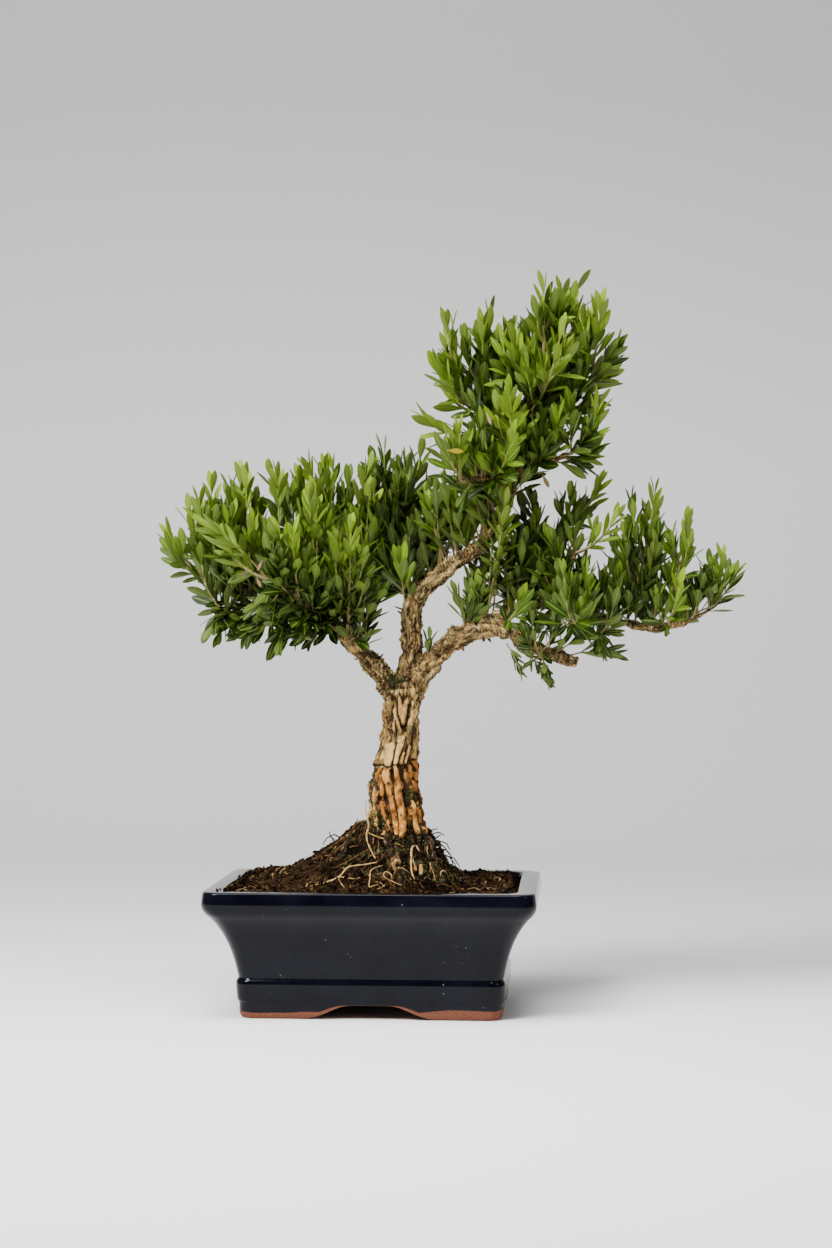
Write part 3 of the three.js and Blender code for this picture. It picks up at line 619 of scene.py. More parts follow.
# Pale roots: washed bare wood-coloured roots that lie over the front of the heap, some of them looped or
# forked. They grow out of the trunk's foot. Each is its thickness, its tone and its places.
PALE_ROOTS = [
    (0.75, 0.95, [(-6.6, -13, 140.6), (-6.6, -14, 132), (-4.4, -17, 124.5), (-5.6, -23.7, 117.6),
                  (-3.1, -31, 111), (2.7, -41, 102.6)]),
    (0.55, 0.85, [(-5.2, -20, 119.8), (2.6, -25.4, 117.2), (11.1, -28.8, 115), (19.9, -31.6, 111.4)]),
    (0.85, 0.92, [(30.1, -29, 108.3), (27.6, -27.8, 111.6), (25.4, -30.6, 110.3), (25.4, -39.2, 102.6),
                  (26.5, -46, 95.8), (28.7, -49.6, 91.4)]),
    (0.55, 0.85, [(37.5, -31.7, 100.8), (38, -34.8, 98.2), (39.9, -37, 95), (41.9, -41.5, 90)]),
    (0.45, 0.8, [(38, -34.8, 98.2), (37.8, -38.5, 95.5), (37.4, -42, 93)]),
    (0.5, 0.85, [(7.1, -44, 100), (3.8, -44.6, 99.2), (-0.6, -46.6, 96.8), (-0.5, -51.4, 92.2),
                 (-0.3, -56.6, 87.2), (4.1, -55.8, 88.4), (8, -54.6, 89.6)]),
    (0.45, 0.8, [(5, -58.6, 86), (8.3, -57.8, 87), (10, -56, 88.6)]),
    (0.45, 0.9, [(13.2, -52, 92.4), (13.4, -50.2, 94.4), (10, -48.2, 96.2), (8.2, -49.2, 95),
                 (9.5, -51.6, 92.8), (14.9, -54.2, 90.3), (20.6, -55.6, 88.2)]),
    (0.7, 0.95, [(-27.2, -47.4, 89.4), (-20.8, -45.6, 93.2), (-18.2, -42.9, 96.4), (-15, -41.2, 98.8),
                 (-5.7, -42.3, 100.2), (2.8, -41.4, 101.8)]),
    (0.55, 0.9, [(-40.6, -46.4, 86.4), (-31.2, -47.6, 88.6), (-21.3, -46.6, 92.2), (-15.4, -48.5, 92),
                 (-10.6, -50.4, 91.6), (-7.2, -49.8, 92.6)]),
    (0.5, 0.8, [(-22, -46.6, 91.6), (-19.5, -51, 88.4), (-17, -55, 86.4)]),
    (0.6, 0.7, [(21.2, -24, 118.6), (18.6, -26.4, 117.4), (16, -27.8, 116)]),
    (0.5, 0.75, [(-3, -37, 105.4), (2, -36, 107), (6.5, -34.4, 109)]),
    (0.45, 0.7, [(-2, -30, 110.6), (-12, -33, 104.6), (-20, -36.4, 100.4), (-26, -38, 97.4)]),
]
pale = Strands()


def smooth_line(places, steps=4):
    """Places along a smooth curve through the given ones."""
    ends = [Vector(p) for p in (places[0], *places, places[-1])]
    found = []
    for p0, p1, p2, p3 in zip(ends, ends[1:], ends[2:], ends[3:]):
        for i in range(steps):
            t = i / steps
            found.append(0.5 * (2 * p1 + (p2 - p0) * t + (2 * p0 - 5 * p1 + 4 * p2 - p3) * t ** 2
                                + (3 * p1 - p0 - 3 * p2 + p3) * t ** 3))
    return found + [ends[-1]]


def laid_back(place):
    """A place moved in depth until it lies on the heap; one up on the trunk stays where it is."""
    x, y, z = place
    for _ in range(24):
        gap = z - 0.5 - crumbly_height(x, y)
        if z > 119 or abs(gap) < 0.5:
            break
        y += 0.5 if gap > 0 else -0.5
        z -= 0.04 if gap > 0 else -0.04
    return Vector((x, y - 0.7, z))


for thick, tone, places in PALE_ROOTS:
    line = smooth_line([laid_back(place) for place in places])
    radii = [thick * (0.94 - 0.45 * abs(2 * i / (len(line) - 1) - 0.9)) for i in range(len(line))]
    pale.add(line, radii, 6, tone - 0.04)
# Stubs of thicker roots show between them, cut or worn off.
BARE_STUBS = [(2.2, 0.62, [(16.6, -33.5, 107), (14.6, -38, 104.4), (12.8, -44, 98.4)]),
              (1.5, 0.80, [(32, -35.6, 99.6), (32.4, -38.8, 97.2), (32.6, -42, 93.6)]),
              (1.3, 0.70, [(28.5, -38.4, 99.4), (28.8, -41.4, 96)]),
              (1.7, 0.46, [(-13, -20, 115.5), (-22, -22, 110), (-31, -25, 103)]),
              (1.6, 0.44, [(-10, -12, 119.5), (-20, -13, 115), (-32, -15, 107.5), (-42, -17, 100)])]
for thick, tone, places in BARE_STUBS:
    line = smooth_line([laid_back(place) for place in places])
    bulges = [thick * (0.55 + 0.45 * math.sin(math.pi * (i + 0.5) / len(line))) for i in range(len(line))]
    pale.add(line, bulges, 8, tone)
pale.piece("pale_roots", root_look, "corky_bark")

# The trunk, boughs and root flares: one living piece of wood. Its corky bark is cracked along the grain into
# tan flakes, smooth pale panels halfway up, and orange cords with deep clefts down to the soil.
# Each limb is a line of stations, as in the part's source: a place and the limb's radius there.
LIMBS = {
    "trunk": [(14, 0, 58, 15), (14, 0, 96, 24), (13.5, 0, 108, 22.5), (12.8, 0, 122, 19.8),
              (12.2, 0, 135, 17.8), (11.4, 0, 152, 16.4), (12.4, 0, 165, 15), (13.5, 0, 178, 13.8),
              (15.7, 0, 200, 12.7), (17.5, 0, 213, 13.2), (19.5, 0, 223, 9)],
    "leader": [(17, 0, 204, 9.5), (21, 0.5, 220, 9), (23, 1, 236, 8.4), (22.8, 3, 256, 7.2),
               (23.5, 5, 271, 6.8), (29.6, 7, 283, 6.2), (41.3, 8, 292, 5.7), (53.7, 7, 302, 5.3),
               (68.8, 4, 313, 5.2), (80.5, 1, 326, 4.9), (87.4, -2, 341, 4.5), (91.5, -2, 355.5, 4.2),
               (97, 0, 373, 3.6), (101, 3, 395, 3), (106.6, 2, 419, 2.4), (113.5, 0, 443, 1.7)],
    "left": [(15, 0, 208, 9), (3.4, -4, 225.5, 8), (-6.9, -8, 237.5, 6.9), (-16.5, -11, 247, 5.8),
             (-29, -13, 257, 4.4), (-45, -14, 266, 3.8), (-65.4, -13, 269.6, 3.2), (-86, -10, 273.7, 2.6),
             (-104.6, -7, 283, 2), (-124, -5, 297, 1.6)],
    "leftRear": [(-11.7, -9, 243, 5), (-19, 4, 265.4, 3.8), (-24, 16, 285, 3.2), (-34.4, 26, 305, 2.5),
                 (-55, 32, 319, 1.8)],
    "leftFront": [(-27, -13, 256, 3.8), (-38, -28, 266, 2.8), (-50, -38, 278, 2.2), (-70, -42, 290, 1.7)],
    "middle": [(23.5, 5, 266, 5), (19.3, 18, 288, 3.8), (13.8, 28, 305, 3), (10.3, 36, 326, 2.4),
               (3.4, 40, 347, 1.7)],
    "right": [(23, 0, 214, 9), (33, -3, 230, 8.3), (41.3, -5, 239, 7.3), (51.6, -6, 248.5, 7),
              (62, -6, 254.4, 6.8), (72, -5, 257, 7.2), (82.6, -5, 258.5, 7), (93.6, -7, 253.7, 5.8),
              (104.6, -9, 246, 5.2), (118.3, -10, 239.3, 4.6), (135.5, -11, 233.8, 3.8)],
    "rightLong": [(80, -4, 259, 6), (90.8, 0, 269.6, 4.6), (110, 5, 273.7, 3.9), (134, 6, 269.6, 3.5),
                  (154.8, 3, 263.4, 3.3), (175.4, 0, 259, 3.1), (190, -2, 256.5, 2.9),
                  (206.4, -3, 260, 2.3), (222, -3, 268, 1.8), (232, -2, 276, 1.5)],
    "rightSpur": [(189, -2, 257, 2.4), (196, -1, 271, 1.9), (199, -1, 282, 1.5)],
    "rightRear": [(88, -1, 267, 4), (92.9, 14, 288, 3.2), (103, 24, 305, 2.6), (116, 32, 322.5, 1.9)],
    "rightFront": [(112, 5, 273, 3.4), (123.8, -12, 288, 2.8), (136, -20, 308.7, 1.9)],
    "topRight": [(91, -2, 353, 3.6), (100, -6, 364, 3), (117, -12, 370, 2.6), (134, -16, 375.5, 1.9)],
    "topFront": [(90, -2, 350, 3.4), (82.6, -10, 357, 2.7), (68.8, -20, 357.6, 2.2), (56.4, -26, 355, 1.7)],
    "topLeft": [(96, 0, 370, 3.2), (86, 10, 381, 2.6), (72, 18, 401.6, 2.2), (62, 22, 422, 1.7)],
    "topRear": [(101, 3, 393, 2.6), (117, 12, 401.6, 2.3), (134, 18, 415, 1.9), (146, 18, 436, 1.6)],
}


def on_limb(stations, at):
    """The place and radius on a limb at a station number: a centripetal curve through its stations."""
    last = len(stations) - 1
    span = min(int(at), last - 1)
    part = at - span
    p = [Vector(s[:3]) for s in stations]
    p1, p2 = p[span], p[span + 1]
    p0 = p[span - 1] if span else p1 * 2 - p2
    p3 = p[span + 2] if span + 2 <= last else p2 * 2 - p1
    d0, d1, d2 = (max((b - a).length, 1e-4) ** 0.5 for a, b in ((p0, p1), (p1, p2), (p2, p3)))
    slope1 = ((p1 - p0) / d0 - (p2 - p0) / (d0 + d1) + (p2 - p1) / d1) * d1
    slope2 = ((p2 - p1) / d1 - (p3 - p1) / (d1 + d2) + (p3 - p2) / d2) * d1
    c2 = -3 * p1 + 3 * p2 - 2 * slope1 - slope2
    c3 = 2 * p1 - 2 * p2 + slope1 + slope2
    radius = stations[span][3] + (stations[span + 1][3] - stations[span][3]) * part
    return p1 + slope1 * part + c2 * part ** 2 + c3 * part ** 3, radius


WOOD_FACE = 0.80
wood_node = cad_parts["trunk_and_boughs"]
wood_mesh = wood_node.data.copy()
wood_mesh.transform(wood_node.matrix_world)
wood = bpy.data.objects.new("trunk_boughs_and_roots", wood_mesh)
bpy.context.collection.objects.link(wood)
pick(wood)
bpy.ops.object.mode_set(mode="EDIT")
bpy.ops.mesh.select_all(action="SELECT")
bpy.ops.mesh.remove_doubles(threshold=1e-6)
bpy.ops.object.mode_set(mode="OBJECT")
remesh = wood.modifiers.new("even_faces", "REMESH")
remesh.mode = "VOXEL"
remesh.voxel_size = WOOD_FACE * MM
bpy.ops.object.modifier_apply(modifier=remesh.name)
rounding = wood.modifiers.new("rounded", "SMOOTH")
rounding.factor = 0.6
rounding.iterations = 7
bpy.ops.object.modifier_apply(modifier=rounding.name)

# Each point of the wood is told how far along its limb it lies, which way round, and how thick the limb is.
SAMPLES_A_SPAN = 8
GRAIN_SHIFT = 57
BLOCK = 4000
samples = []
for number, stations in enumerate(LIMBS.values()):
    run = 0.0
    previous = None
    for k in range((len(stations) - 1) * SAMPLES_A_SPAN + 1):
        centre, radius = on_limb(stations, k / SAMPLES_A_SPAN)
        run += (centre - previous).length if previous else 0
        previous = centre
        samples.append((*centre, radius, run + GRAIN_SHIFT * number, number))
samples = np.array(samples)
count = len(wood.data.vertices)
flat = np.empty(count * 3)
wood.data.vertices.foreach_get("co", flat)
bark_places = flat.reshape(-1, 3) / MM - (POT_X, 0, 0)
flat = np.empty(count * 3)
wood.data.vertices.foreach_get("normal", flat)
bark_normals = flat.reshape(-1, 3)
nearest = np.empty(count, dtype=int)
for start in range(0, count, BLOCK):
    block = bark_places[start:start + BLOCK]
    away = np.linalg.norm(block[:, None, :] - samples[None, :, :3], axis=2) - samples[None, :, 3]
    nearest[start:start + BLOCK] = np.argmin(away, axis=1)
limb_radius = samples[nearest, 3]
on_trunk = samples[nearest, 5] == 0

PANEL_LOW = 163
PANEL_HIGH = 190
ROOT_TOP = 122
# Round scars of cut shoots: place, radius, how far each stands out, and how pale it is.
KNOTS = [((15, -12.5, 213.8), 2.5, 1.2, 0.5), ((26.2, -8.7, 206.2), 2.1, 0.9, 0.45),
         ((23.3, -9.9, 191.4), 1.8, 0.8, 0.5), ((28.5, -4, 222), 4.2, 1.3, 0.2),
         ((-2.5, -5.9, 164.5), 3.6, 3.2, -0.5), ((8, -14, 224), 2.4, 0.8, 0.3),
         ((57, -11, 253), 1.9, 1.2, 0.3), ((64, -11.5, 256), 1.8, 1.2, 0.3),
         ((70, -11.5, 257), 2.2, 1.3, 0.35), ((87, -11.5, 256.5), 2.6, 1.2, 0.4),
         ((83, -6, 265.5), 5.4, 2.8, 0.2), ((51, -8, 255), 4.2, 2.4, -0.3),
         ((73, -6, 263.5), 4.4, 2.0, 0.0), ((99, -9, 253), 3.4, 1.4, 0.0), ((62, -7, 247), 3.2, 1.5, -0.4),
         ((93, -9, 247), 3.6, 1.8, -0.2), ((40, -9, 243), 3.0, 1.2, 0.2),
         ((4.1, -15.4, 137.4), 3.4, 1.3, 0.1), ((8.9, -16.4, 149.5), 3.2, 1.2, 0.1),
         ((24.3, -10.6, 150), 3.4, 1.2, 0.1)]
crack_depths = np.empty(count)
plate_tones = np.empty(count)
wobble = np.empty(count)
cordy = np.empty(count)
swell = np.empty(count)
grain_places = np.empty((count, 3))
for k in range(count):
    x, y, z = bark_places[k]
    here = Vector((x, y, z))
    cx, cy, cz, radius, run, number = samples[nearest[k]]
    thick = min(1.0, radius / 13)
    rx, ry = x - cx, y - cy
    ragged = 5 * noise.noise(here / 6)
    wander = 2.0 * noise.noise(here / 12)
    wobble[k] = noise.noise(here / 3.1) + 0.6 * noise.noise(here / 1.4)
    fine = 0.5 * noise.noise(Vector((rx, ry, run / 4)) * 1.1)
    fine += 0.3 * noise.noise(Vector((rx, ry, run / 3)) * 2.4)
    panel_low = PANEL_LOW + 0.6 * max(0.0, x - 15) + ragged * 0.3
    if number == 0 and z < panel_low:
        grain = Vector(((rx + wander) / 4.2, (ry - wander) / 4.2, z / 38))
        cleft, depth, round_up, weakest, motley = 0.42, 2.8, 1.9, 0.85, 0.42
    elif number == 0 and z < PANEL_HIGH + ragged:
        grain = Vector(((rx + wander * 0.5) / 5.4, (ry - wander * 0.5) / 5.4, z / 40 + 0.4))
        cleft, depth, round_up, weakest, motley = 0.16, 1.4, 0.9, 0.6, 0.16
    else:
        size = 1.0 if radius > 8 else 1.2
        bent = 1.0 * noise.noise(here / 3.2)
        grain = Vector(((rx + wander + bent) / 3.6, (ry - wander - bent) / 3.6,
                        run / 22 + (z - cz) / 36 + number * 3.7)) * size
        cleft, depth, round_up, weakest, motley = 0.34, 2.2, 1.2, 0.6, 0.22
    distances, centres = noise.voronoi(grain)
    fissure = max(0.0, 1 - (distances[1] - distances[0]) / cleft)
    fissure *= min(1.0, max(weakest, 0.85 + 1.3 * noise.noise(here / 4.5)))
    dome = round_up * (1 - min(1.0, distances[0] * 1.3) ** 2)
    own = noise.noise(centres[0] * 5.3)
    blotch = noise.noise(here / 9 + Vector((4, 9, 2)))
    out = thick * (dome - depth * fissure) + 0.7 * fine * (0.4 + 0.6 * thick) + 0.8 * own * thick
    gnarl = 1.5 * noise.noise(here / 12) + 1.9 * noise.noise(here / 5.5) + 1.0 * noise.noise(here / 2.8)
    out += gnarl * (0.5 + 0.7 * thick) * (0.6 if number == 0 else 1)
    buried = held((ROOT_TOP - z) / 7)
    tone = 0.52 + motley * own + 0.34 * fine + 0.30 * blotch - 0.42 * buried
    grain_places[k] = grain
    for middle, size, height, paleness in KNOTS:
        away = (here - Vector(middle)).length / size
        if away < 1.5:
            edge = max(0.0, 1 - away * away * 0.55)
            out += height * edge
            tone += paleness * max(0.0, 1 - away ** 4) * 0.6
            fissure = max(fissure * (1 - edge), 0.8 * max(0.0, 1 - abs(away - 1.12) / 0.22))
    plate_tones[k] = tone
    in_cords = number == 0 and z < panel_low
    crack_depths[k] = fissure if in_cords else 0.7 * fissure
    if in_cords:
        cordy[k] = held((x + 1) / 8 + 0.5 + 1.2 * blotch, 0.2) * (1 - 0.8 * buried)
    else:
        cordy[k] = max(0.0, 0.42 - abs(z - 180) / 90) if number == 0 else 0.0
    swell[k] = out - (0.8 if in_cords else 1.3 if number == 0 and z < 212 else 0.0)
from_crack = bark_places[:, 2] - 164.2 - 0.9 * np.sin(bark_places[:, 0] * 0.6)
line_crack = np.clip(1.25 - np.abs(from_crack) / 0.9, 0, 1)
line_crack *= on_trunk * (bark_places[:, 1] < 4) * (bark_places[:, 0] < 17)
crack_depths = np.maximum(crack_depths, line_crack)
swell -= 0.8 * line_crack

# Smooth pale plates show where the front's cork has come away, and long cracks run between them, dark with
# their inner bark and painted shade. Each is a line of places on the front with its half width there; a plate
# has its tone and how orange it is too.
PLATES = [
    ([(20.2, 208.6, 1.5), (17.9, 200, 2.3), (16.7, 192.5, 0.9), (16.2, 200, 2.5), (14.4, 209.6, 1.5)],
     0.53, 0.38),
    ([(25.5, 200.6, 1.9), (21.6, 192.6, 1.9), (18.2, 184.6, 1.0)], 0.49, 0.10),
    ([(11.2, 202, 1.1), (11.9, 193.6, 1.5)], 0.49, 0.1),
    ([(13.3, 193, 1.0), (14.8, 187, 1.2)], 0.50, 0.3),
    ([(9.6, 192, 1.2), (9.9, 187.4, 1.9)], 0.51, 0.3),
    ([(7.3, 176.8, 3.6), (6.4, 168, 3.9)], 0.54, 0.26),
    ([(13.8, 177, 2.5), (12.2, 167.2, 1.9)], 0.56, 0.20),
    ([(17.9, 172.4, 1.1), (16.5, 166.8, 1.5)], 0.51, 0.35),
    ([(22.1, 176.4, 1.7), (19.6, 167, 1.7)], 0.53, 0.2),
    ([(2.4, 174, 1.0), (1.2, 168.6, 1.2)], 0.46, 0.0),
    ([(24.6, 166, 1.7), (25.6, 158, 2.2)], 0.44, 0.95),
    ([(21.8, 164, 1.0), (23.6, 156, 1.6)], 0.50, 0.95),
    ([(24.4, 152.4, 2.4), (26.2, 147.4, 2.0)], 0.48, 0.95),
    ([(5.4, 158.6, 2.8), (6.2, 153.6, 2.4)], 0.54, 0.7),
    ([(2.6, 136.4, 2.1), (3.0, 133, 2.2)], 0.48, 0.9),
]
CRACKS = [[(11.9, 180.6, 0.0), (9.6, 164, 0.15), (10.2, 157, 0.5), (11.4, 147, 0.9), (13.2, 138, 0.6)],
          [(16.8, 177.4, 0.0), (14.2, 169.4, 0.15), (14.0, 164, 0.4), (15.4, 157.4, 0.8), (16.2, 150.6, 0.4)],
          [(19.4, 178, 0.0), (18.0, 170, 0.1), (17.8, 164.6, 0.1)],
          [(23.6, 180.4, 0.5), (21.6, 172, 0.3), (20.2, 164, 0.5), (21.5, 157, 0.8), (23.2, 150.4, 0.5)],
          [(22.6, 168, 0.3), (25.6, 160.4, 0.4)], [(18.4, 154, 0.6), (20.4, 146, 1.2), (21.6, 138, 1.2)],
          [(10.6, 196, 0.2), (11.4, 187, 0.2)], [(13.1, 210, 0.4), (13.6, 199, 0.2), (15.4, 190.4, 0.2)],
          [(21.2, 205, 0.6), (19.4, 195.6, 0.3), (17.4, 189.6, 0.1)], [(17.3, 209.4, 0.4), (17.2, 206, 0.1)],
          [(7.4, 146, 0.4), (6.4, 139, 0.9)], [(2.0, 146, 0.5), (0.8, 139, 0.5)]]
# The front is seen a little from the right.
seen_x = bark_places[:, 0] + 0.07 * bark_places[:, 1]
front = (bark_places[:, 1] < 3) & on_trunk
smoothed = np.zeros(count)


def outside_line(line):
    """How far each point on the front lies outside a tapering line across it; inside it is negative."""
    outside = np.full(count, 99.0)
    for (x0, z0, wide0), (x1, z1, wide1) in zip(line, line[1:]):
        dx, dz = x1 - x0, z1 - z0
        from_x, from_z = seen_x - x0, bark_places[:, 2] - z0
        part = np.clip((from_x * dx + from_z * dz) / (dx * dx + dz * dz), 0, 1)
        away = np.hypot(from_x - part * dx, from_z - part * dz)
        outside = np.minimum(outside, away - wide0 - part * (wide1 - wide0))
    return np.where(front, outside, 99.0)


for line, tone, orange in PLATES:
    outside = outside_line(line) + 1.0 * wobble
    inside = np.clip(0.4 - outside / 1.1, 0, 1)
    edge = 0.55 * np.clip(1 - np.abs(outside - 0.55) / 0.6, 0, 1)
    swell = swell * (1 - 0.65 * inside) + 0.5 * inside - 0.6 * edge
    crack_depths = np.maximum(crack_depths * (1 - inside), edge)
    plate_tones = plate_tones * (1 - 0.7 * inside) + 0.7 * inside * (tone + 0.10 * wobble)
    cordy = cordy * (1 - inside) + orange * inside
    smoothed = np.maximum(smoothed, inside)
for line in CRACKS:
    deep = np.clip(1 - (outside_line(line) + 0.35 * wobble) / 0.75, 0, 1)
    crack_depths = np.maximum(crack_depths, deep)
    swell -= 1.5 * deep
shift = 1.8 * np.exp(-((bark_places[:, 2] - 184) / 15) ** 2) * on_trunk
below = np.clip((bark_places[:, 2] - 84) / 20, 0.15, 1)
moved = bark_places + bark_normals * (swell * below)[:, None] + shift[:, None] * (1, 0, 0)
wood.data.vertices.foreach_set("co", ((moved + (POT_X, 0, 0)) * MM).ravel())
wood.data.polygons.foreach_set("use_smooth", [True] * len(wood.data.polygons))
wood.data.update()
give_tones(wood, "crack", crack_depths)
give_tones(wood, "tone", plate_tones)
give_tones(wood, "cord", cordy)
give_tones(wood, "smooth", smoothed)
give_tones(wood, "thick", np.clip(limb_radius / 16, 0, 1))


def give_grain(piece, places):
    """Keeps the way that the wood's grain runs at each point, for the bark's fine cracks to follow."""
    attribute = piece.data.attributes.new("grain", "FLOAT_VECTOR", "POINT")
    attribute.data.foreach_set("vector", np.asarray(places, dtype=np.float32).ravel())


give_grain(wood, grain_places)
thinning = wood.modifiers.new("fewer_flat_faces", "DECIMATE")
thinning.ratio = 0.85
bpy.ops.object.modifier_apply(modifier=thinning.name)

bark, tree, shader = new_material("corky_bark", 0.9)
place = shader_node(tree, "TexCoord").outputs["Object"]
crack, tone, thick, cord, smooth = (kept(tree, name) for name in ("crack", "tone", "thick", "cord", "smooth"))
grain = shader_node(tree, "Attribute", attribute_name="grain").outputs["Vector"]
speckle = cloudy(tree, place, 480, 5, 0.7)
rough_skin = blend(tree, 0.5, cloudy(tree, grain, 5.5, 6, 0.75), speckle, "FLOAT")
toned = blend(tree, ranged(tree, smooth, 0, 1, 0.45, 0.36), tone, rough_skin, "FLOAT")
tan = colour_ramp(tree, toned, [(0.32, (0.055, 0.027, 0.008)), (0.41, (0.31, 0.168, 0.048)),
                                (0.50, (0.86, 0.53, 0.170)), (0.60, (1.0, 0.73, 0.28))])
orange = colour_ramp(tree, toned, [(0.31, (0.045, 0.015, 0.003)), (0.44, (0.24, 0.078, 0.011)),
                                   (0.56, (0.60, 0.23, 0.033)), (0.68, (0.92, 0.46, 0.10))])
bare = blend(tree, cord, tan, orange)
# Thin limbs are darker: partly their own darker bark, partly painted shade.
thin_limb_dark_and_shade = ranged(tree, thick, 0.15, 0.85, 0.50, 0.0)
dark_and_shaded_bark = blend(tree, thin_limb_dark_and_shade, bare, (0.15, 0.112, 0.043, 1))
pale_flakes = reckon(tree, "MULTIPLY", ranged(tree, speckle, 0.53, 0.63, 0.0, 0.58),
                     ranged(tree, cord, 0.2, 0.6, 1.0, 0.0))
dark_and_shaded_bark = blend(tree, pale_flakes, dark_and_shaded_bark, (0.78, 0.58, 0.31, 1))
mossed = ranged(tree, cloudy(tree, place, 62, 4), 0.57, 0.70, 0.0, 0.72)
green = blend(tree, mossed, dark_and_shaded_bark, (0.045, 0.045, 0.010, 1))
splits = 0.0
for size, detail, width, depth in ((0.95, 3, 0.062, 0.97), (2.3, 3, 0.052, 0.75), (5.5, 2, 0.045, 0.35)):
    from_line = reckon(tree, "ABSOLUTE", reckon(tree, "SUBTRACT", cloudy(tree, grain, size, detail), 0.5))
    splits = reckon(tree, "MAXIMUM", splits, ranged(tree, from_line, 0.015, width, depth, 0.0))
splits = reckon(tree, "MULTIPLY", splits, ranged(tree, cord, 0.45, 0.7, 1.0, 0.4))
splits = reckon(tree, "MULTIPLY", splits, ranged(tree, smooth, 0.2, 0.9, 1.0, 0.4))
# Cracks and splits are painted near black: the dark inner bark, and painted shade in them.
cracks = reckon(tree, "MAXIMUM", ranged(tree, crack, 0.08, 0.60, 0.0, 0.97), splits)
cracked_and_shaded = blend(tree, cracks, green, (0.014, 0.007, 0.002, 1))
relief = reckon(tree, "SUBTRACT", rough_skin, reckon(tree, "MULTIPLY", splits, 0.6))
dress(tree, shader, cracked_and_shaded, 0.25, relief, 0.8)
wood.data.materials.clear()
wood.data.materials.append(bark)
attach(wood, "root")
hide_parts("trunk_and_boughs")

# Cords: bare orange strands of fused root wood. They stand out on the front of the trunk's foot, where the
# cork has come away, and reach the heap. Each is its thickness and its places.
CORDS = [(1.7, [(8.5, -15.6, 154), (8.9, -16.3, 149), (9.6, -16.7, 144.5), (11.4, -17.6, 138),
                (13.3, -18.7, 129), (14.3, -20.6, 121), (14.6, -23, 118.2)]),
         (2.5, [(13.8, -14.6, 163), (15, -15.6, 152), (15.9, -16.4, 143), (18, -17.2, 133.5),
                (18.6, -18.4, 126), (18.5, -21.6, 120.4), (18.2, -24.6, 117.4)]),
         (1.7, [(24.2, -12.2, 141), (25.2, -12, 137), (26.3, -13, 129), (28, -14.8, 121),
                (29.4, -15.6, 118.8)]),
         (1.5, [(8.6, -17.6, 128), (8.6, -19, 123.6), (7.4, -22.6, 119), (4.4, -23.6, 118.2)]),
         (1.4, [(19.6, -13.6, 162), (21.8, -13, 154), (24, -12, 148)]),
         (1.5, [(3.2, -13.4, 158), (4, -14.6, 150), (4.6, -15.6, 144)])]
cord_points, cord_faces = [], []
noise.seed_set(517)
for thick, places in CORDS:
    line = smooth_line(places, 8)
    radii = [thick * min(1.0, 0.45 + 2.4 * i / len(line), 0.6 + 2.0 * (len(line) - 1 - i) / len(line))
             * (1 + 0.22 * noise.noise(p / 3.4)) for i, p in enumerate(line)]
    first = len(cord_points)
    more_points, more_faces = strand(line, radii, 14)
    cord_points += [tuple(p + 0.55 * noise.noise_vector(p / 2.2)) for p in more_points]
    cord_faces += [[first + i for i in face] for face in more_faces]
cords = mesh_piece("trunk_cords", cord_points, cord_faces, bark)
give_tones(cords, "tone", [0.54 + 0.50 * noise.noise(Vector(p) / 4) for p in cord_points])
give_tones(cords, "crack", [max(0.0, 1.7 * noise.noise(Vector(p) / 2.6) - 0.35) for p in cord_points])
give_tones(cords, "cord", [0.9] * len(cord_points))
give_tones(cords, "thick", [1.0] * len(cord_points))
give_grain(cords, [(x / 4.2, y / 4.2, z / 20) for x, y, z in cord_points])
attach(cords, "root")

# Snags: short dead ends of wood, left on the boughs where shoots died back or were snapped off. They grow out
# of the bark at all angles.
SNAGS = 58
draw = draws(2207)
snags = Strands()
slim = np.flatnonzero((limb_radius > 2.6) & (limb_radius < 9.4) & (bark_places[:, 2] > 215))
for k in range(SNAGS):
    at = slim[int(draw() * len(slim))]
    start, lean = Vector(moved[at]), Vector(bark_normals[at])
    length, radius = between(draw, 1.8, 6), between(draw, 0.5, 1.2)
    lean = (lean + Vector((draw() - 0.5, draw() - 0.5, draw() * 0.7)) * 0.7).normalized()
    places = [start - lean * 1.2, start + lean * length * 0.5, start + lean * length]
    snags.add(places, [radius * 1.3, radius, radius * 0.55], 6, between(draw, 0.28, 0.7))
snags.piece("bough_snags", root_look, "corky_bark")

# Moss: small dark green tufts that grow in the forks, in the clefts of the trunk's foot and over the front of
# the heap. Each patch on the wood is its middle, its reach and its number of tufts.
MOSS_ON_HEAP = 1500
MOSS_ON_WOOD = [((4.2, -16.5, 130.7), 6, 70), ((23.5, -12.6, 141.3), 7.5, 130), ((-3.5, -6, 155), 4.5, 60),
                ((28.5, -7, 140), 6, 70), ((19, -15.4, 144), 3.5, 25), ((21, -14, 127), 5, 55),
                ((9, -10, 219), 7, 90), ((14, -9, 222), 6, 80), ((31, -6, 226), 4, 45),
                ((0, -9, 236), 6, 35), ((6, -16, 124), 5, 60), ((-2, -10, 125), 6, 60),
                ((28, -12, 122), 6, 60), ((52, -4, 256), 4, 24), ((95, -6, 259), 5, 30)]
draw = draws(6113)
tufts = Strands()


def add_tuft(place, out):
    """A few narrow blades that spread from one place."""
    for _ in range(3):
        lean = (Vector(out) + Vector((draw() - 0.5, draw() - 0.5, draw() - 0.3)) * 1.3).normalized()
        tall, thin = between(draw, 0.8, 1.9), between(draw, 0.22, 0.42)
        tufts.add([place - lean * 0.4, place + lean * tall * 0.55, place + lean * tall],
                  [thin * 0.8, thin, thin * 0.25], 3, draw())


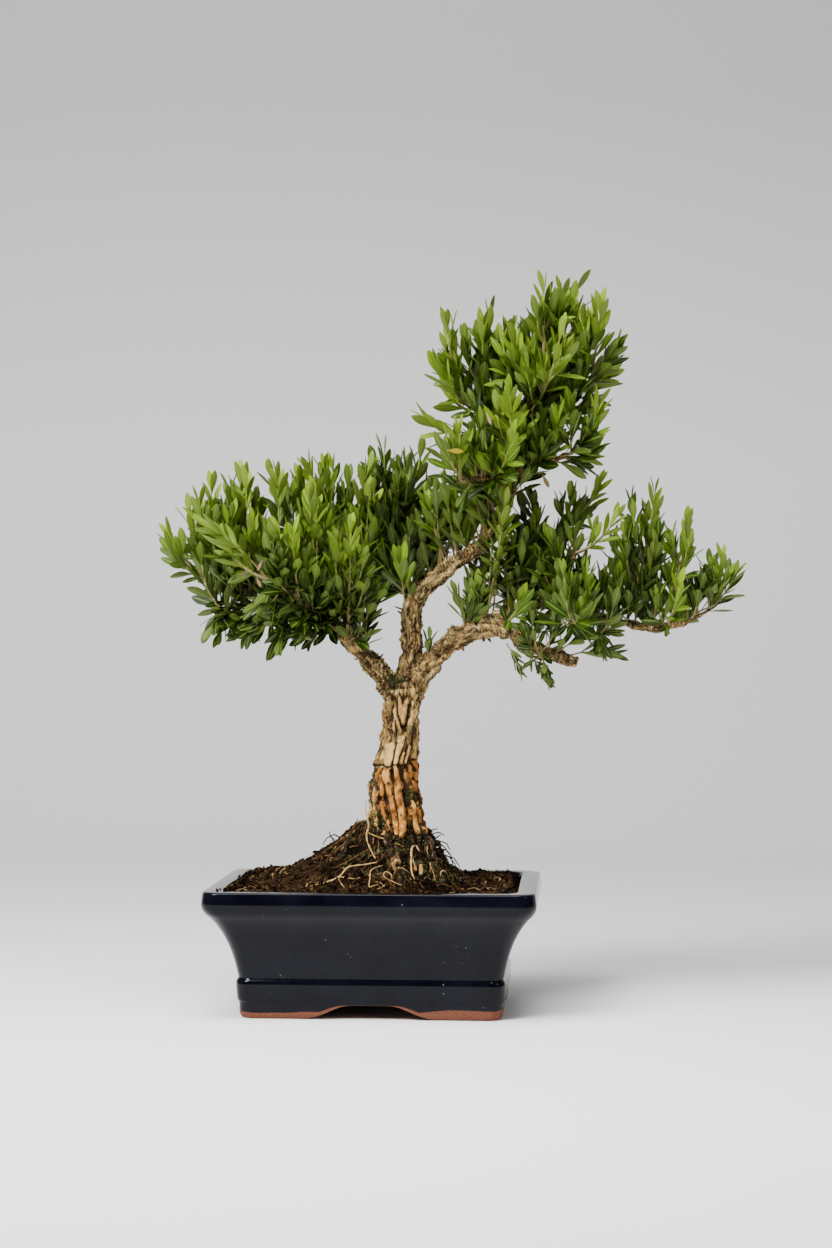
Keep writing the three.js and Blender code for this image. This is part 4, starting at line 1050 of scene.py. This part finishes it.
for middle, size, number in MOSS_ON_WOOD:
    near = np.flatnonzero(np.linalg.norm(bark_places - middle, axis=1) < size)
    for _ in range(number if len(near) else 0):
        at = near[int(draw() * len(near))]
        add_tuft(Vector(moved[at]), bark_normals[at])
for k in range(MOSS_ON_HEAP):
    turn, reach = math.radians(-150 + 150 * draw()) + between(draw, -0.5, 0.5), 16 + 34 * draw() ** 1.4
    x, y = kept_in(TRUNK_X + reach * math.cos(turn), reach * math.sin(turn))
    if noise.noise(Vector((x, y, 0)) / 7) > -0.08:
        add_tuft(Vector((x, y, crumbly_height(x, y))), (0, -0.2, 1))
moss_look, tree, shader = new_material("dark_moss", 0.9)
mossy = colour_ramp(tree, kept(tree, "tone"), [(0.0, (0.006, 0.009, 0.002)), (0.55, (0.030, 0.038, 0.006)),
                                               (1.0, (0.13, 0.135, 0.024))])
dress(tree, shader, mossy, 0.5)
tufts.piece("moss_tufts", moss_look, "boxwood_leaf")

# The sprays: four-angled green twigs with narrow spoon-shaped leaves in crossed pairs. Each spray grows from
# its bough at a station number, and its twig ends where the tree's own shoots end.
PADS = {
    "left": [("left", 8.95, (-140, -5, 317)), ("left", 8.4, (-131, 12, 335)),
             ("left", 7.8, (-113, -6, 350)), ("left", 7.1, (-98, 22, 358)),
             ("leftRear", 3.9, (-77, 38, 361)), ("leftRear", 2.9, (-34, 36, 366)),
             ("leftFront", 2.95, (-99, -46, 314)), ("left", 6.3, (-82, -20, 328)),
             ("leftFront", 1.9, (-51, -58, 317)), ("left", 4.6, (-40, -14, 345)),
             ("left", 3.3, (-14, -44, 320)), ("left", 7.4, (-108, -30, 262)),
             ("left", 5.4, (-62, -38, 251)), ("leftRear", 1.6, (-6, 12, 347)),
             ("leftRear", 3.7, (-96, 62, 321)), ("left", 6.8, (-122, 34, 304))],
    "middle": [("middle", 3.95, (2, 32, 377)), ("middle", 3.2, (27, 26, 374)),
               ("middle", 2.5, (9, 60, 346)), ("middle", 1.4, (45, 42, 322))],
    "top": [("topLeft", 2.95, (52, 6, 453)), ("topLeft", 2.5, (75, 27, 471)),
            ("leader", 14.95, (113, 5, 485)), ("leader", 14.5, (134, 25, 488)),
            ("topRear", 2.95, (151, -4, 469)), ("topLeft", 2.1, (44, -14, 430)),
            ("topLeft", 1.5, (36, 8, 398)), ("leader", 13.9, (93, -15, 454)),
            ("leader", 13.3, (124, -35, 448)), ("topRear", 2.3, (156, 26, 432)),
            ("topRight", 2.95, (150, -15, 406)), ("leader", 12.1, (92, -50, 410)),
            ("topFront", 2.9, (58, -38, 386)), ("topFront", 1.3, (92, -60, 378)),
            ("topRear", 1.2, (110, 50, 433)), ("topLeft", 0.9, (80, 55, 404))],
    "right": [("rightRear", 2.95, (150, 18, 354)), ("rightLong", 4.4, (188, 6, 348)),
              ("rightSpur", 1.95, (209, -5, 325)), ("rightLong", 8.95, (232, -8, 302)),
              ("rightRear", 1.6, (108, 16, 329)), ("rightFront", 1.95, (160, -26, 329)),
              ("right", 6.1, (98, -45, 276)), ("rightLong", 2.6, (138, -55, 269)),
              ("rightLong", 6.2, (203, -38, 284)), ("rightLong", 3.5, (152, -28, 246)),
              ("right", 8.4, (114, -24, 231)), ("right", 3.8, (65, -4, 285)),
              ("rightLong", 3.9, (178, 46, 305)), ("rightRear", 1.1, (96, 62, 300))],
}
LEAF_LENGTH = 21.0
LEAF_WIDTH = 6.3
LEAF_THICK = 0.6
# Rows of points across a leaf, as shares of its length and width, then each pair's opening and size from the
# shoot's end back.
LEAF_ROWS = [(0.0, 0.13), (0.15, 0.30), (0.33, 0.64), (0.50, 0.94), (0.66, 1.0), (0.82, 0.76), (0.94, 0.38)]
OPENINGS = (0.18, 0.31, 0.42, 0.52, 0.64, 0.78, 0.90, 1.05)
SIZES = (0.84, 0.98, 1.03, 1.05, 1.02, 0.98, 0.94, 0.92)
UP = Vector((0, 0, 1))
clip_low = Vector(cad_low) / MM - Vector((POT_X + 6, 3.5, 0))
clip_high = Vector(cad_high) / MM - Vector((POT_X - 6, -3.5, -4))


class Stem:
    """A stem's middle line: a quadratic curve, with the way out through its four sides."""

    def __init__(self, start, via, end):
        self.start, self.via, self.end = start, via, end
        self.normal = (via - start).cross(end - via).normalized()
        steps = [self.place(k / 10) for k in range(11)]
        self.length = sum((b - a).length for a, b in zip(steps, steps[1:]))

    def place(self, t):
        """The place at a share of the stem's length."""
        return self.start * (1 - t) ** 2 + self.via * (2 * t * (1 - t)) + self.end * t * t

    def along(self, t):
        """The way that the stem runs there."""
        return ((self.via - self.start) * (1 - t) + (self.end - self.via) * t).normalized()

    def side(self, t, quarter):
        """The way out of one of the stem's four sides there."""
        angle = (quarter + 0.5) * math.pi / 2
        other = self.along(t).cross(self.normal)
        return self.normal * math.cos(angle) + other * math.sin(angle)


def side_shoot(base, along, out, length, room):
    """A shoot that leaves its bearer sideways, turns up, and stays under the height it has room for."""
    rise = along.z * 0.14 + out.z * 0.38 + 0.66
    length = max(10.0, min(length, room / rise)) if rise > 0 else length
    via = base + out * (0.32 * length) + along * (0.12 * length) + UP * (0.08 * length)
    end = base + out * (0.38 * length) + along * (0.14 * length) + UP * (0.66 * length)
    return Stem(base, via, end)


def leaf_shape(length, width, bow, fold):
    """Points of one closed leaf: base at the origin, length along X, upper face to Z, the tip last."""
    points = []
    for along, wide in LEAF_ROWS:
        x = along * length
        drop = -bow * length * along ** 2
        half_width = wide * width / 2
        thick = LEAF_THICK * (0.35 + 0.65 * wide)
        lift = fold * half_width
        points += [(x, -half_width, drop + lift), (x, 0, drop + 0.25 * thick), (x, half_width, drop + lift),
                   (x, 0, drop - 0.75 * thick)]
    points.append((length, 0, -bow * length + 0.1))
    return np.array(points)


rows = len(LEAF_ROWS)
# A leaf's map runs from 0 to 1 across it and along it; its underside is moved aside, so the look can tell it.
UNDER = 2.0
leaf_faces, leaf_corners = [[3, 2, 1, 0]], [(0.5, 0)] * 4
leaf_map = [(across, along) for along, _ in LEAF_ROWS for across in (0, 0.5, 1, 0.5)] + [(0.5, 1)]
for row in range(rows):
    for side in range(4):
        a, b = 4 * row + side, 4 * row + (side + 1) % 4
        face = [a, b, b + 4, a + 4] if row < rows - 1 else [a, b, 4 * rows]
        leaf_faces.append(face)
        leaf_corners += [(leaf_map[i][0] + (UNDER if side > 1 else 0), leaf_map[i][1]) for i in face]


class Spray:
    """The growing points, faces and tones of one spray."""

    def __init__(self, floor, rise):
        self.points, self.faces, self.tones, self.corners, self.kinds = [], [], [], [], []
        self.floor, self.rise = floor, rise

    def add_stem(self, stem, thick, thin, young, rings=5):
        """Adds a tapering stem with a slight swelling at every other ring."""
        places = [stem.place(k / rings) for k in range(rings + 1)]
        radii = [(thick + (thin - thick) * k / rings) * (1.12 if k % 2 else 0.95) for k in range(rings + 1)]
        points, faces = strand(places, radii, 5)
        self.faces += [[len(self.points) + i for i in face] for face in faces]
        self.kinds += [1] * len(faces)
        self.corners += [(0.5, 0.5)] * sum(len(face) for face in faces)
        self.points += [tuple(p) for p in points]
        for k in range(rings + 1):
            self.tones += [young * k / rings] * 5

    def add_leaf(self, place, along, out, opening, size, tone, draw):
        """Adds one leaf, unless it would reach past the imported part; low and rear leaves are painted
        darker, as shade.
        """
        roll = between(draw, -0.4, 0.4)
        reach = along * math.cos(opening) + out * math.sin(opening)
        face = along * math.sin(opening) - out * math.cos(opening)
        face = (Matrix.Rotation(roll, 3, reach) @ face).normalized()
        side = face.cross(reach)
        length = LEAF_LENGTH * size * between(draw, 0.92, 1.1)
        width = LEAF_WIDTH * size * between(draw, 0.84, 1.14)
        shape = leaf_shape(length, width, between(draw, -0.05, 0.12), between(draw, 0.04, 0.26))
        shape = shape @ np.array([reach, side, face]) + np.array(place)
        if any(shape[-1] < clip_low) or any(shape[-1] > clip_high):
            return
        first = len(self.points)
        self.points += [tuple(p) for p in shape]
        self.faces += [[first + i for i in f] for f in leaf_faces]
        self.kinds += [0] * len(leaf_faces)
        self.corners += leaf_corners
        # Painted shade: leaves low in their pad and towards its back are made darker.
        lit = 0.55 + 0.60 * held((place[2] - self.floor) / self.rise)
        lit *= 1.06 - 0.36 * held((place[1] + 15) / 60)
        self.tones += [min(1.0, tone * lit) if tone <= 1 else tone] * len(shape)


def leafy(spray, stem, pairs, spacing, draw, fresh_and_lit, thinning=4, scale=1.0):
    """Crossed leaf pairs back from a stem's end: half shut and pale there, wider open and darker below,
    partly as older leaves and partly as painted shade.
    """
    twist = int(2 * draw())
    for k in range(pairs):
        back = 1.0 + k * spacing
        if back > 0.94 * stem.length:
            return
        t = 1 - back / stem.length
        size = scale * SIZES[min(k, 7)] * between(draw, 0.88, 1.1)
        for half_turn in (0, 2):
            if k >= thinning and draw() < 0.25:
                continue
            out = stem.side(t, k + half_turn + twist)
            out = (Matrix.Rotation(between(draw, -0.35, 0.35), 3, stem.along(t)) @ out).normalized()
            opening = OPENINGS[min(k, 7)] + between(draw, -0.14, 0.18)
            # Leaves further back from the end are darker: older leaves, and painted shade.
            tone = held(fresh_and_lit * (1 - 0.11 * k) + between(draw, -0.10, 0.10))
            spray.add_leaf(stem.place(t), stem.along(t), out, opening, size, tone, draw)


# Shoots leave a twig's four sides in this order, and end these distances below its tip in turn.
SHOOT_TURNS = (0, 2, 1, 3)
SPIKE_GAPS = (8, 19, 32)
# Pads and sprays have painted light and shade: their leaves are brighter in the light and darker in the
# shade, and those under the cut bough have short leaves.
SHADES = {"middle": 0.6, "top": 1.15, "right": 1.08, "left_spray_12": 0.5, "left_spray_13": 0.5,
          "left_spray_16": 0.8, "right_spray_7": 0.75, "right_spray_8": 0.75, "right_spray_10": 0.5,
          "right_spray_11": 0.5, "right_spray_12": 0.6}
SHORT_LEAVES = {"right_spray_10": 0.78, "right_spray_11": 0.64, "right": 0.86, "left": 0.95, "middle": 0.95}
# Leaves are painted darker below a height in each pad, as shade, and brighter over a rise above it, as light.
PAD_SHADE_FLOORS = {"left": (262, 50), "middle": (290, 60), "top": (345, 50), "right": (246, 45)}
grown = {}
for pad, sprays in PADS.items():
    for number, (limb, at, tip) in enumerate(sprays):
        name = f"{pad}_spray_{number + 1}"
        base, _ = on_limb(LIMBS[limb], at)
        tip = Vector(tip)
        reach = tip - base
        sideways = math.hypot(reach.x, reach.y)
        sag = 0.6 * max(0.0, 0.5 * sideways - reach.z) if reach.z > -8 else 0.0
        twig = Stem(base, base + Vector((0.72 * reach.x, 0.72 * reach.y, 0.3 * reach.z - sag)), tip)
        seed = int(977 + 131 * number + 7 * abs(tip.x))
        draw = draws(seed)
        shoot_count = max(3, int(twig.length / 7.5 + 0.5))
        turned = int(4 * draw())
        shoots = []
        for k in range(shoot_count):
            t = 0.16 + 0.62 * (k + 0.5) / shoot_count
            length = (46 - 16 * t) * (0.85 + 0.3 * draw())
            start = twig.place(t)
            room = tip.z - start.z - SPIKE_GAPS[k % 3] if reach.z > 0 else 30
            if room > 9:
                out = twig.side(t, turned + SHOOT_TURNS[k % 4])
                shoots.append(side_shoot(start, twig.along(t), out, length, room))
        draw = draws(seed + 3)
        spray = Spray(*PAD_SHADE_FLOORS[pad])
        spray.add_stem(twig, 1.2, 0.5, 0.9, 9)
        # Painted light and shade for this spray's leaves.
        shade = SHADES.get(name, SHADES.get(pad, 1.0))
        scale = SHORT_LEAVES.get(name, SHORT_LEAVES.get(pad, 1.0))
        leafy(spray, twig, 9, 7.8 * scale, draw, shade, 6, scale)
        for shoot in shoots:
            # Shoots that end further below the spray's tip get darker leaves: older, and with painted shade.
            fresh_and_lit = held(1.0 - 0.016 * max(0, tip.z - shoot.end.z), 0.18, 0.95) * shade
            spray.add_stem(shoot, 0.7, 0.40, 0.9)
            leafy(spray, shoot, 6, 7.6 * scale, draw, fresh_and_lit * between(draw, 0.55, 1.15), 4, scale)
            if shoot.length > 17:
                small = side_shoot(shoot.place(0.35), shoot.along(0.35), shoot.side(0.35, int(4 * draw())),
                                   between(draw, 13, 22), shoot.end.z - shoot.place(0.35).z - 8)
                spray.add_stem(small, 0.5, 0.36, 0.8, 3)
                leafy(spray, small, 4, 6.6 * scale, draw, fresh_and_lit * between(draw, 0.4, 0.85), 4, scale)
        grown[name] = (spray, base, tip)

# Short leafy shoots also rise straight from the boughs, older and darker with painted shade, and close the
# pads from inside. Each line is a limb, its first and last station number, the spacing, the way they lean,
# and their lengths.
BOUGH_SHOOTS = [("left", 3.6, 8.8, 4.0, (0, 0, 0.7), 16, 34),
                ("left", 3.8, 7.4, 3.4, (-0.2, -1.0, -0.5), 18, 32),
                ("leftRear", 0.9, 3.9, 4.0, (0, 0, 0.6), 16, 32),
                ("leftFront", 0.5, 2.9, 3.6, (0, -0.3, 0.2), 16, 32),
                ("leftFront", 0.5, 2.9, 5.0, (0, -0.6, -0.6), 14, 26),
                ("middle", 0.7, 3.9, 3.4, (0.3, 0, 0.5), 18, 36),
                ("middle", 0.2, 2.8, 3.0, (-1.0, -0.6, 0.7), 20, 38),
                ("left", 2.2, 3.8, 3.4, (0.3, 0.2, 1.6), 28, 40),
                ("leader", 5.4, 10.4, 2.4, (-0.7, 0.5, 1.3), 26, 54),
                ("leader", 10.2, 14.9, 3.6, (0, 0, 0.5), 18, 34),
                ("right", 3.3, 5.2, 4.0, (0.1, 0.5, 1.7), 32, 52),
                ("right", 5.0, 7.4, 3.6, (0.1, 0.5, 1.8), 42, 84),
                ("right", 7.4, 9.4, 8.0, (0, 0, 0), 12, 24),
                ("rightLong", 0.8, 8.8, 4.2, (0, 0.3, 1.0), 16, 32),
                ("rightLong", 1.2, 3.6, 6.0, (0, -1.0, 0), 14, 26),
                ("rightSpur", 0.4, 1.9, 5.0, (0, 0, 0.4), 14, 26),
                ("rightRear", 0.5, 2.9, 3.6, (0, 0, 0.6), 16, 34),
                ("rightFront", 0.4, 1.9, 4.0, (0, 0, 0.5), 16, 30),
                ("topRight", 0.3, 2.9, 3.6, (0, 0, 0.5), 16, 32),
                ("topFront", 0.4, 2.9, 3.6, (0, -0.2, 0.4), 16, 32),
                ("topLeft", 0.3, 2.9, 3.4, (-0.2, 0, 0.4), 16, 34),
                ("topRear", 0.3, 2.9, 3.6, (0, 0, 0.4), 16, 32),
                ("topRear", 0.8, 2.9, 4.5, (-0.3, -1.0, 0.5), 14, 26),
                ("topRight", 0.5, 2.9, 6.0, (0.1, -0.6, 0.8), 16, 28)]
draw = draws(3511)
for limb, first_at, last_at, spacing, lean, low_length, high_length in BOUGH_SHOOTS:
    at = first_at
    while at < last_at:
        base = on_limb(LIMBS[limb], at)[0]
        ahead = (on_limb(LIMBS[limb], min(at + 0.1, last_at + 0.05))[0] - base).normalized()
        around = Matrix.Rotation(6.28 * draw(), 3, ahead) @ ahead.orthogonal().normalized()
        out = (around * 0.9 + Vector(lean) + ahead * 0.3).normalized()
        length = between(draw, low_length, high_length)
        turn_up = UP * ((0.34 if lean[2] >= 0 else 0.12) * length)
        shoot = Stem(base, base + out * (0.5 * length), base + out * (0.76 * length) + turn_up)
        name = min(grown, key=lambda n: min((grown[n][1] - base).length, (grown[n][2] - base).length))
        spray = grown[name][0]
        spray.add_stem(shoot, 0.75, 0.40, 0.5, 4)
        # Painted shade: shoots inside the pads get darker leaves.
        bright = between(draw, 0.35, 0.85) if high_length > 40 else between(draw, 0.12, 0.55)
        bright *= SHADES.get(name.split("_")[0], 1.0)
        scale = SHORT_LEAVES.get(name.split("_")[0], 1.0)
        leafy(spray, shoot, max(6, int(length / 7.5 / scale)), 6.6 * scale, draw, bright, 5, scale)
        after = on_limb(LIMBS[limb], min(at + 0.5, len(LIMBS[limb]) - 1.001))[0]
        at += spacing * 0.5 / max((after - base).length, 1e-3) * between(draw, 0.7, 1.3)

# Small sprigs of short leaves hang under the right bough, grow past its cut end and stand in its fork. Others
# close gaps in the left pad and at the top. Each is its spray, start, tip, pairs of leaves, scale and shade.
SPRIGS = [("right_spray_7", (88, -9, 247), (97, -14, 230), 4, 0.62, 0.45),
          ("right_spray_7", (99, -10, 243), (116, -15, 223), 5, 0.62, 0.45),
          ("right_spray_11", (127, -11, 238), (157, -15, 241), 4, 0.85, 0.55),
          ("right_spray_11", (122, -12, 241), (140, -20, 250), 3, 0.8, 0.5),
          ("right_spray_12", (34, -8, 231), (36, -10, 249), 3, 0.62, 0.5),
          ("right_spray_12", (66, -8, 259), (66.5, -10, 281), 3, 0.5, 0.35),
          ("right_spray_12", (60, -8, 258), (55, -14, 279), 4, 0.75, 0.5),
          ("left_spray_13", (-66, -16, 259), (-68, -24, 249), 1, 0.9, 0.45),
          ("left_spray_13", (-38, -14, 262), (-34, -26, 260), 3, 0.9, 0.4),
          ("left_spray_13", (-17, -13, 249), (-12, -26, 250), 3, 0.9, 0.45),
          ("left_spray_11", (-8, -8, 240), (-12, -24, 270), 5, 1.0, 0.45),
          ("left_spray_11", (-14, -12, 248), (2, -28, 276), 5, 1.0, 0.6),
          ("left_spray_12", (-96, -8, 278), (-104, -22, 256), 4, 0.95, 0.5),
          ("left_spray_8", (-64, -13, 270), (-68, -4, 357), 6, 0.95, 0.95),
          ("left_spray_5", (-55, 32, 319), (-57, 28, 357), 5, 0.95, 0.95),
          ("left_spray_6", (-34, 26, 305), (-48, 20, 363), 6, 0.95, 1.0),
          ("left_spray_6", (-34, 26, 305), (-37, 14, 365), 6, 0.95, 1.0),
          ("left_spray_14", (-24, 16, 285), (-9, 20, 363), 6, 0.95, 0.95),
          ("left_spray_4", (-86, -10, 274), (-90, -2, 355), 6, 0.95, 1.0),
          ("left_spray_9", (-50, -38, 278), (-62, -56, 318), 5, 1.0, 0.9),
          ("left_spray_9", (-38, -28, 266), (-41, -44, 340), 6, 0.95, 0.8),
          ("left_spray_11", (22, -6, 246), (17, -26, 300), 4, 1.0, 0.85),
          ("left_spray_11", (-16, -11, 247), (-22, -50, 312), 5, 1.0, 1.0),
          ("left_spray_7", (-70, -42, 290), (-104, -50, 322), 5, 0.95, 0.8),
          ("top_spray_1", (50, 4, 440), (48, -2, 461), 3, 1.0, 0.9),
          ("top_spray_2", (84, 18, 436), (88, 12, 457), 4, 1.0, 0.7)]
for name, start, tip, pairs, scale, fresh_and_lit in SPRIGS:
    start, tip = Vector(start), Vector(tip)
    stem = Stem(start, (start + tip) / 2 + UP * 0.12 * (tip - start).length, tip)
    grown[name][0].add_stem(stem, 0.6, 0.36, 0.5, 3)
    leafy(grown[name][0], stem, pairs, 7.4 * scale, draw, fresh_and_lit, 9, scale)

# A yellow leaf and a few dry ones hang in the pads: the spray that holds each, its place, lie, size and tone.
YELLOWED, DRIED = 1.6, 2.2
FADED = [("top_spray_13", (50, -46, 375), (1, -0.1, -0.15), 0.5, YELLOWED),
         ("left_spray_8", (-82, -40, 299), (-0.5, -0.3, -0.8), 0.5, DRIED),
         ("left_spray_8", (-78, -41, 292), (0.4, -0.3, -0.8), 0.45, DRIED),
         ("left_spray_11", (-44, -46, 283), (0.3, -0.2, -0.9), 0.5, DRIED),
         ("left_spray_9", (-73, -43, 303), (-0.3, -0.3, -0.7), 0.45, DRIED),
         ("top_spray_12", (76, -46, 400), (0.3, -0.4, -0.8), 0.5, DRIED),
         ("top_spray_14", (112, -14, 361), (0.4, -0.2, -0.8), 0.55, DRIED)]
for name, place, lie, size, tone in FADED:
    lie = Vector(lie).normalized()
    away = Vector((0, 1, 0.3)).normalized()
    grown[name][0].add_leaf(Vector(place), lie, away, 0.15, size, tone, draw)

leaf_look, tree, shader = new_material("boxwood_leaf", 0.46)
tone = kept(tree, "tone")
place = shader_node(tree, "TexCoord").outputs["Object"]
mixed = blend(tree, 0.16, tone, cloudy(tree, place, 330, 4), "FLOAT")
blade = colour_ramp(tree, mixed, [(0.08, (0.005, 0.015, 0.0006)), (0.35, (0.025, 0.061, 0.0013)),
                                  (0.62, (0.096, 0.180, 0.0045)), (0.92, (0.205, 0.325, 0.0105))])
leaf_map_at = shader_node(tree, "UVMap", uv_map="leaf").outputs["UV"]
leaf_uv = shader_node(tree, "SeparateXYZ", {"Vector": leaf_map_at})
under = ranged(tree, leaf_uv.outputs["X"], 1.4, 1.6)
across = reckon(tree, "SUBTRACT", leaf_uv.outputs["X"], reckon(tree, "MULTIPLY", under, UNDER))
off_rib = reckon(tree, "ABSOLUTE", reckon(tree, "SUBTRACT", across, 0.5))
rib = ranged(tree, off_rib, 0.03, 0.08, 0.5, 0.0)
ribbed = blend(tree, rib, blade, (0.34, 0.43, 0.07, 1))
faced = blend(tree, reckon(tree, "MULTIPLY", under, 0.5), ribbed, (0.13, 0.18, 0.030, 1))
yellowed = blend(tree, ranged(tree, tone, 1.2, 1.4), faced, (0.42, 0.29, 0.002, 1))
dried = blend(tree, ranged(tree, tone, 1.8, 2.0), yellowed, (0.25, 0.155, 0.080, 1))
slant = reckon(tree, "MULTIPLY", off_rib, 1.3)
veins_at = reckon(tree, "MULTIPLY", reckon(tree, "SUBTRACT", leaf_uv.outputs["Y"], slant), 88.0)
relief = reckon(tree, "SUBTRACT", reckon(tree, "SINE", veins_at), rib)
dress(tree, shader, dried, 0.22, relief, 0.14, 0.0003)

twig_look, tree, shader = new_material("green_twig", 0.6)
stemmed = colour_ramp(tree, kept(tree, "tone"), [(0.05, (0.20, 0.135, 0.055)), (0.4, (0.26, 0.24, 0.06)),
                                                 (1.0, (0.36, 0.46, 0.08))])
dress(tree, shader, stemmed, 0.5)

for name, (spray, _, _) in grown.items():
    piece = mesh_piece(name + "_leaves", spray.points, spray.faces, leaf_look)
    piece.data.materials.append(twig_look)
    piece.data.polygons.foreach_set("material_index", spray.kinds)
    give_tones(piece, "tone", spray.tones)
    layer = piece.data.uv_layers.new(name="leaf")
    layer.data.foreach_set("uv", np.array(spray.corners, dtype=np.float32).ravel())
    piece.data.set_sharp_from_angle(angle=math.radians(62))
    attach(piece, "root")
    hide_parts(name)

# The studio: one sheet of pale paper, bent up behind the pot, is both floor and background. A large soft
# light stands over the left shoulder, with weak ones above and to the right.
SWEEP_SIDE = 3.0
SWEEP_FRONT = -1.5
SWEEP_BACK = 1.05
SWEEP_BEND = 0.5
SWEEP_TALL = 2.6
sweep_bend = [(SWEEP_BACK + SWEEP_BEND * math.sin(a), SWEEP_BEND - SWEEP_BEND * math.cos(a))
              for a in np.linspace(0, math.pi / 2, 14)]
sweep_line = [(SWEEP_FRONT, 0.0), *sweep_bend, (SWEEP_BACK + SWEEP_BEND, SWEEP_TALL)]
sweep_points = [(x, y, z) for x in (-SWEEP_SIDE, SWEEP_SIDE) for y, z in sweep_line]
sweep_faces = [(k, k + len(sweep_line), k + len(sweep_line) + 1, k + 1) for k in range(len(sweep_line) - 1)]
sweep_mesh = bpy.data.meshes.new("studio_sweep")
sweep_mesh.from_pydata(sweep_points, [], sweep_faces)
sweep_mesh.polygons.foreach_set("use_smooth", [True] * len(sweep_faces))
sweep = bpy.data.objects.new("studio_sweep", sweep_mesh)
bpy.context.collection.objects.link(sweep)
paper, tree, shader = new_material("pale_paper", 0.9)
place = shader_node(tree, "TexCoord").outputs["Object"]
rise = shader_node(tree, "SeparateXYZ", {"Vector": place}).outputs["Z"]
# Painted shade: the paper is darker higher up the backdrop, where less light reaches it.
shaded_upwards = colour_ramp(tree, rise, [(0.0, (0.925, 0.925, 0.93)), (0.12, (0.90, 0.90, 0.905)),
                                 (0.45, (0.86, 0.86, 0.862)), (0.95, (0.60, 0.60, 0.60))])
dress(tree, shader, shaded_upwards, 0.1)
sweep_mesh.materials.append(paper)


def soft_light(name, place, target, size, power, colour=(1, 1, 1), spread=180):
    """A rectangular soft box turned to a target."""
    lamp = bpy.data.lights.new(name, "AREA")
    lamp.shape = "RECTANGLE"
    lamp.size, lamp.size_y = size
    lamp.energy = power
    lamp.color = colour
    lamp.spread = math.radians(spread)
    holder = bpy.data.objects.new(name, lamp)
    holder.location = place
    holder.rotation_euler = (Vector(target) - Vector(place)).to_track_quat("-Z", "Y").to_euler()
    bpy.context.collection.objects.link(holder)
    return holder


soft_light("key_softbox", (-1.0, -1.1, 1.6), (0, 0, 0.2), (0.8, 0.8), 70, (1, 0.985, 0.96))
soft_light("top_softbox", (-0.1, -0.45, 1.75), (-0.1, -0.42, 0), (1.2, 0.9), 22)
soft_light("right_softbox", (1.7, -0.9, 1.3), (0, 0, 0.2), (0.6, 0.9), 8)
soft_light("floor_softbox", (-0.1, -0.5, 1.2), (-0.05, -0.27, 0), (0.9, 0.4), 2.5, spread=64)
world = bpy.data.worlds.new("studio_air")
world.use_nodes = True
world.node_tree.nodes["Background"].inputs["Color"].default_value = (0.92, 0.95, 1.0, 1)
world.node_tree.nodes["Background"].inputs["Strength"].default_value = 0.09
bpy.context.scene.world = world

# The camera stands level in front of the pot, a little to its right, as in the photograph. Its places are in
# metres, and its focal length in pixels of a picture as tall as the photograph.
CAMERA_TURN = math.radians(4.1)
CAMERA_AWAY = 1.685
CAMERA_ASIDE = 0.0262
CAMERA_HIGH = 0.2600
FOCAL_PIXELS = 2475
IMAGE_TALL = 1248
across = Vector((math.cos(CAMERA_TURN), math.sin(CAMERA_TURN), 0))
ahead = Vector((-math.sin(CAMERA_TURN), math.cos(CAMERA_TURN), 0))
camera_data = bpy.data.cameras.new("camera")
camera_data.sensor_fit = "VERTICAL"
camera_data.sensor_height = 36
camera_data.lens = 36 * FOCAL_PIXELS / IMAGE_TALL
camera_data.clip_start = 0.01
camera = bpy.data.objects.new("camera", camera_data)
camera.location = Vector((POT_X * MM, 0, CAMERA_HIGH)) - ahead * CAMERA_AWAY + across * CAMERA_ASIDE
camera.rotation_euler = (math.pi / 2, 0, CAMERA_TURN)
bpy.context.collection.objects.link(camera)
bpy.context.scene.camera = camera
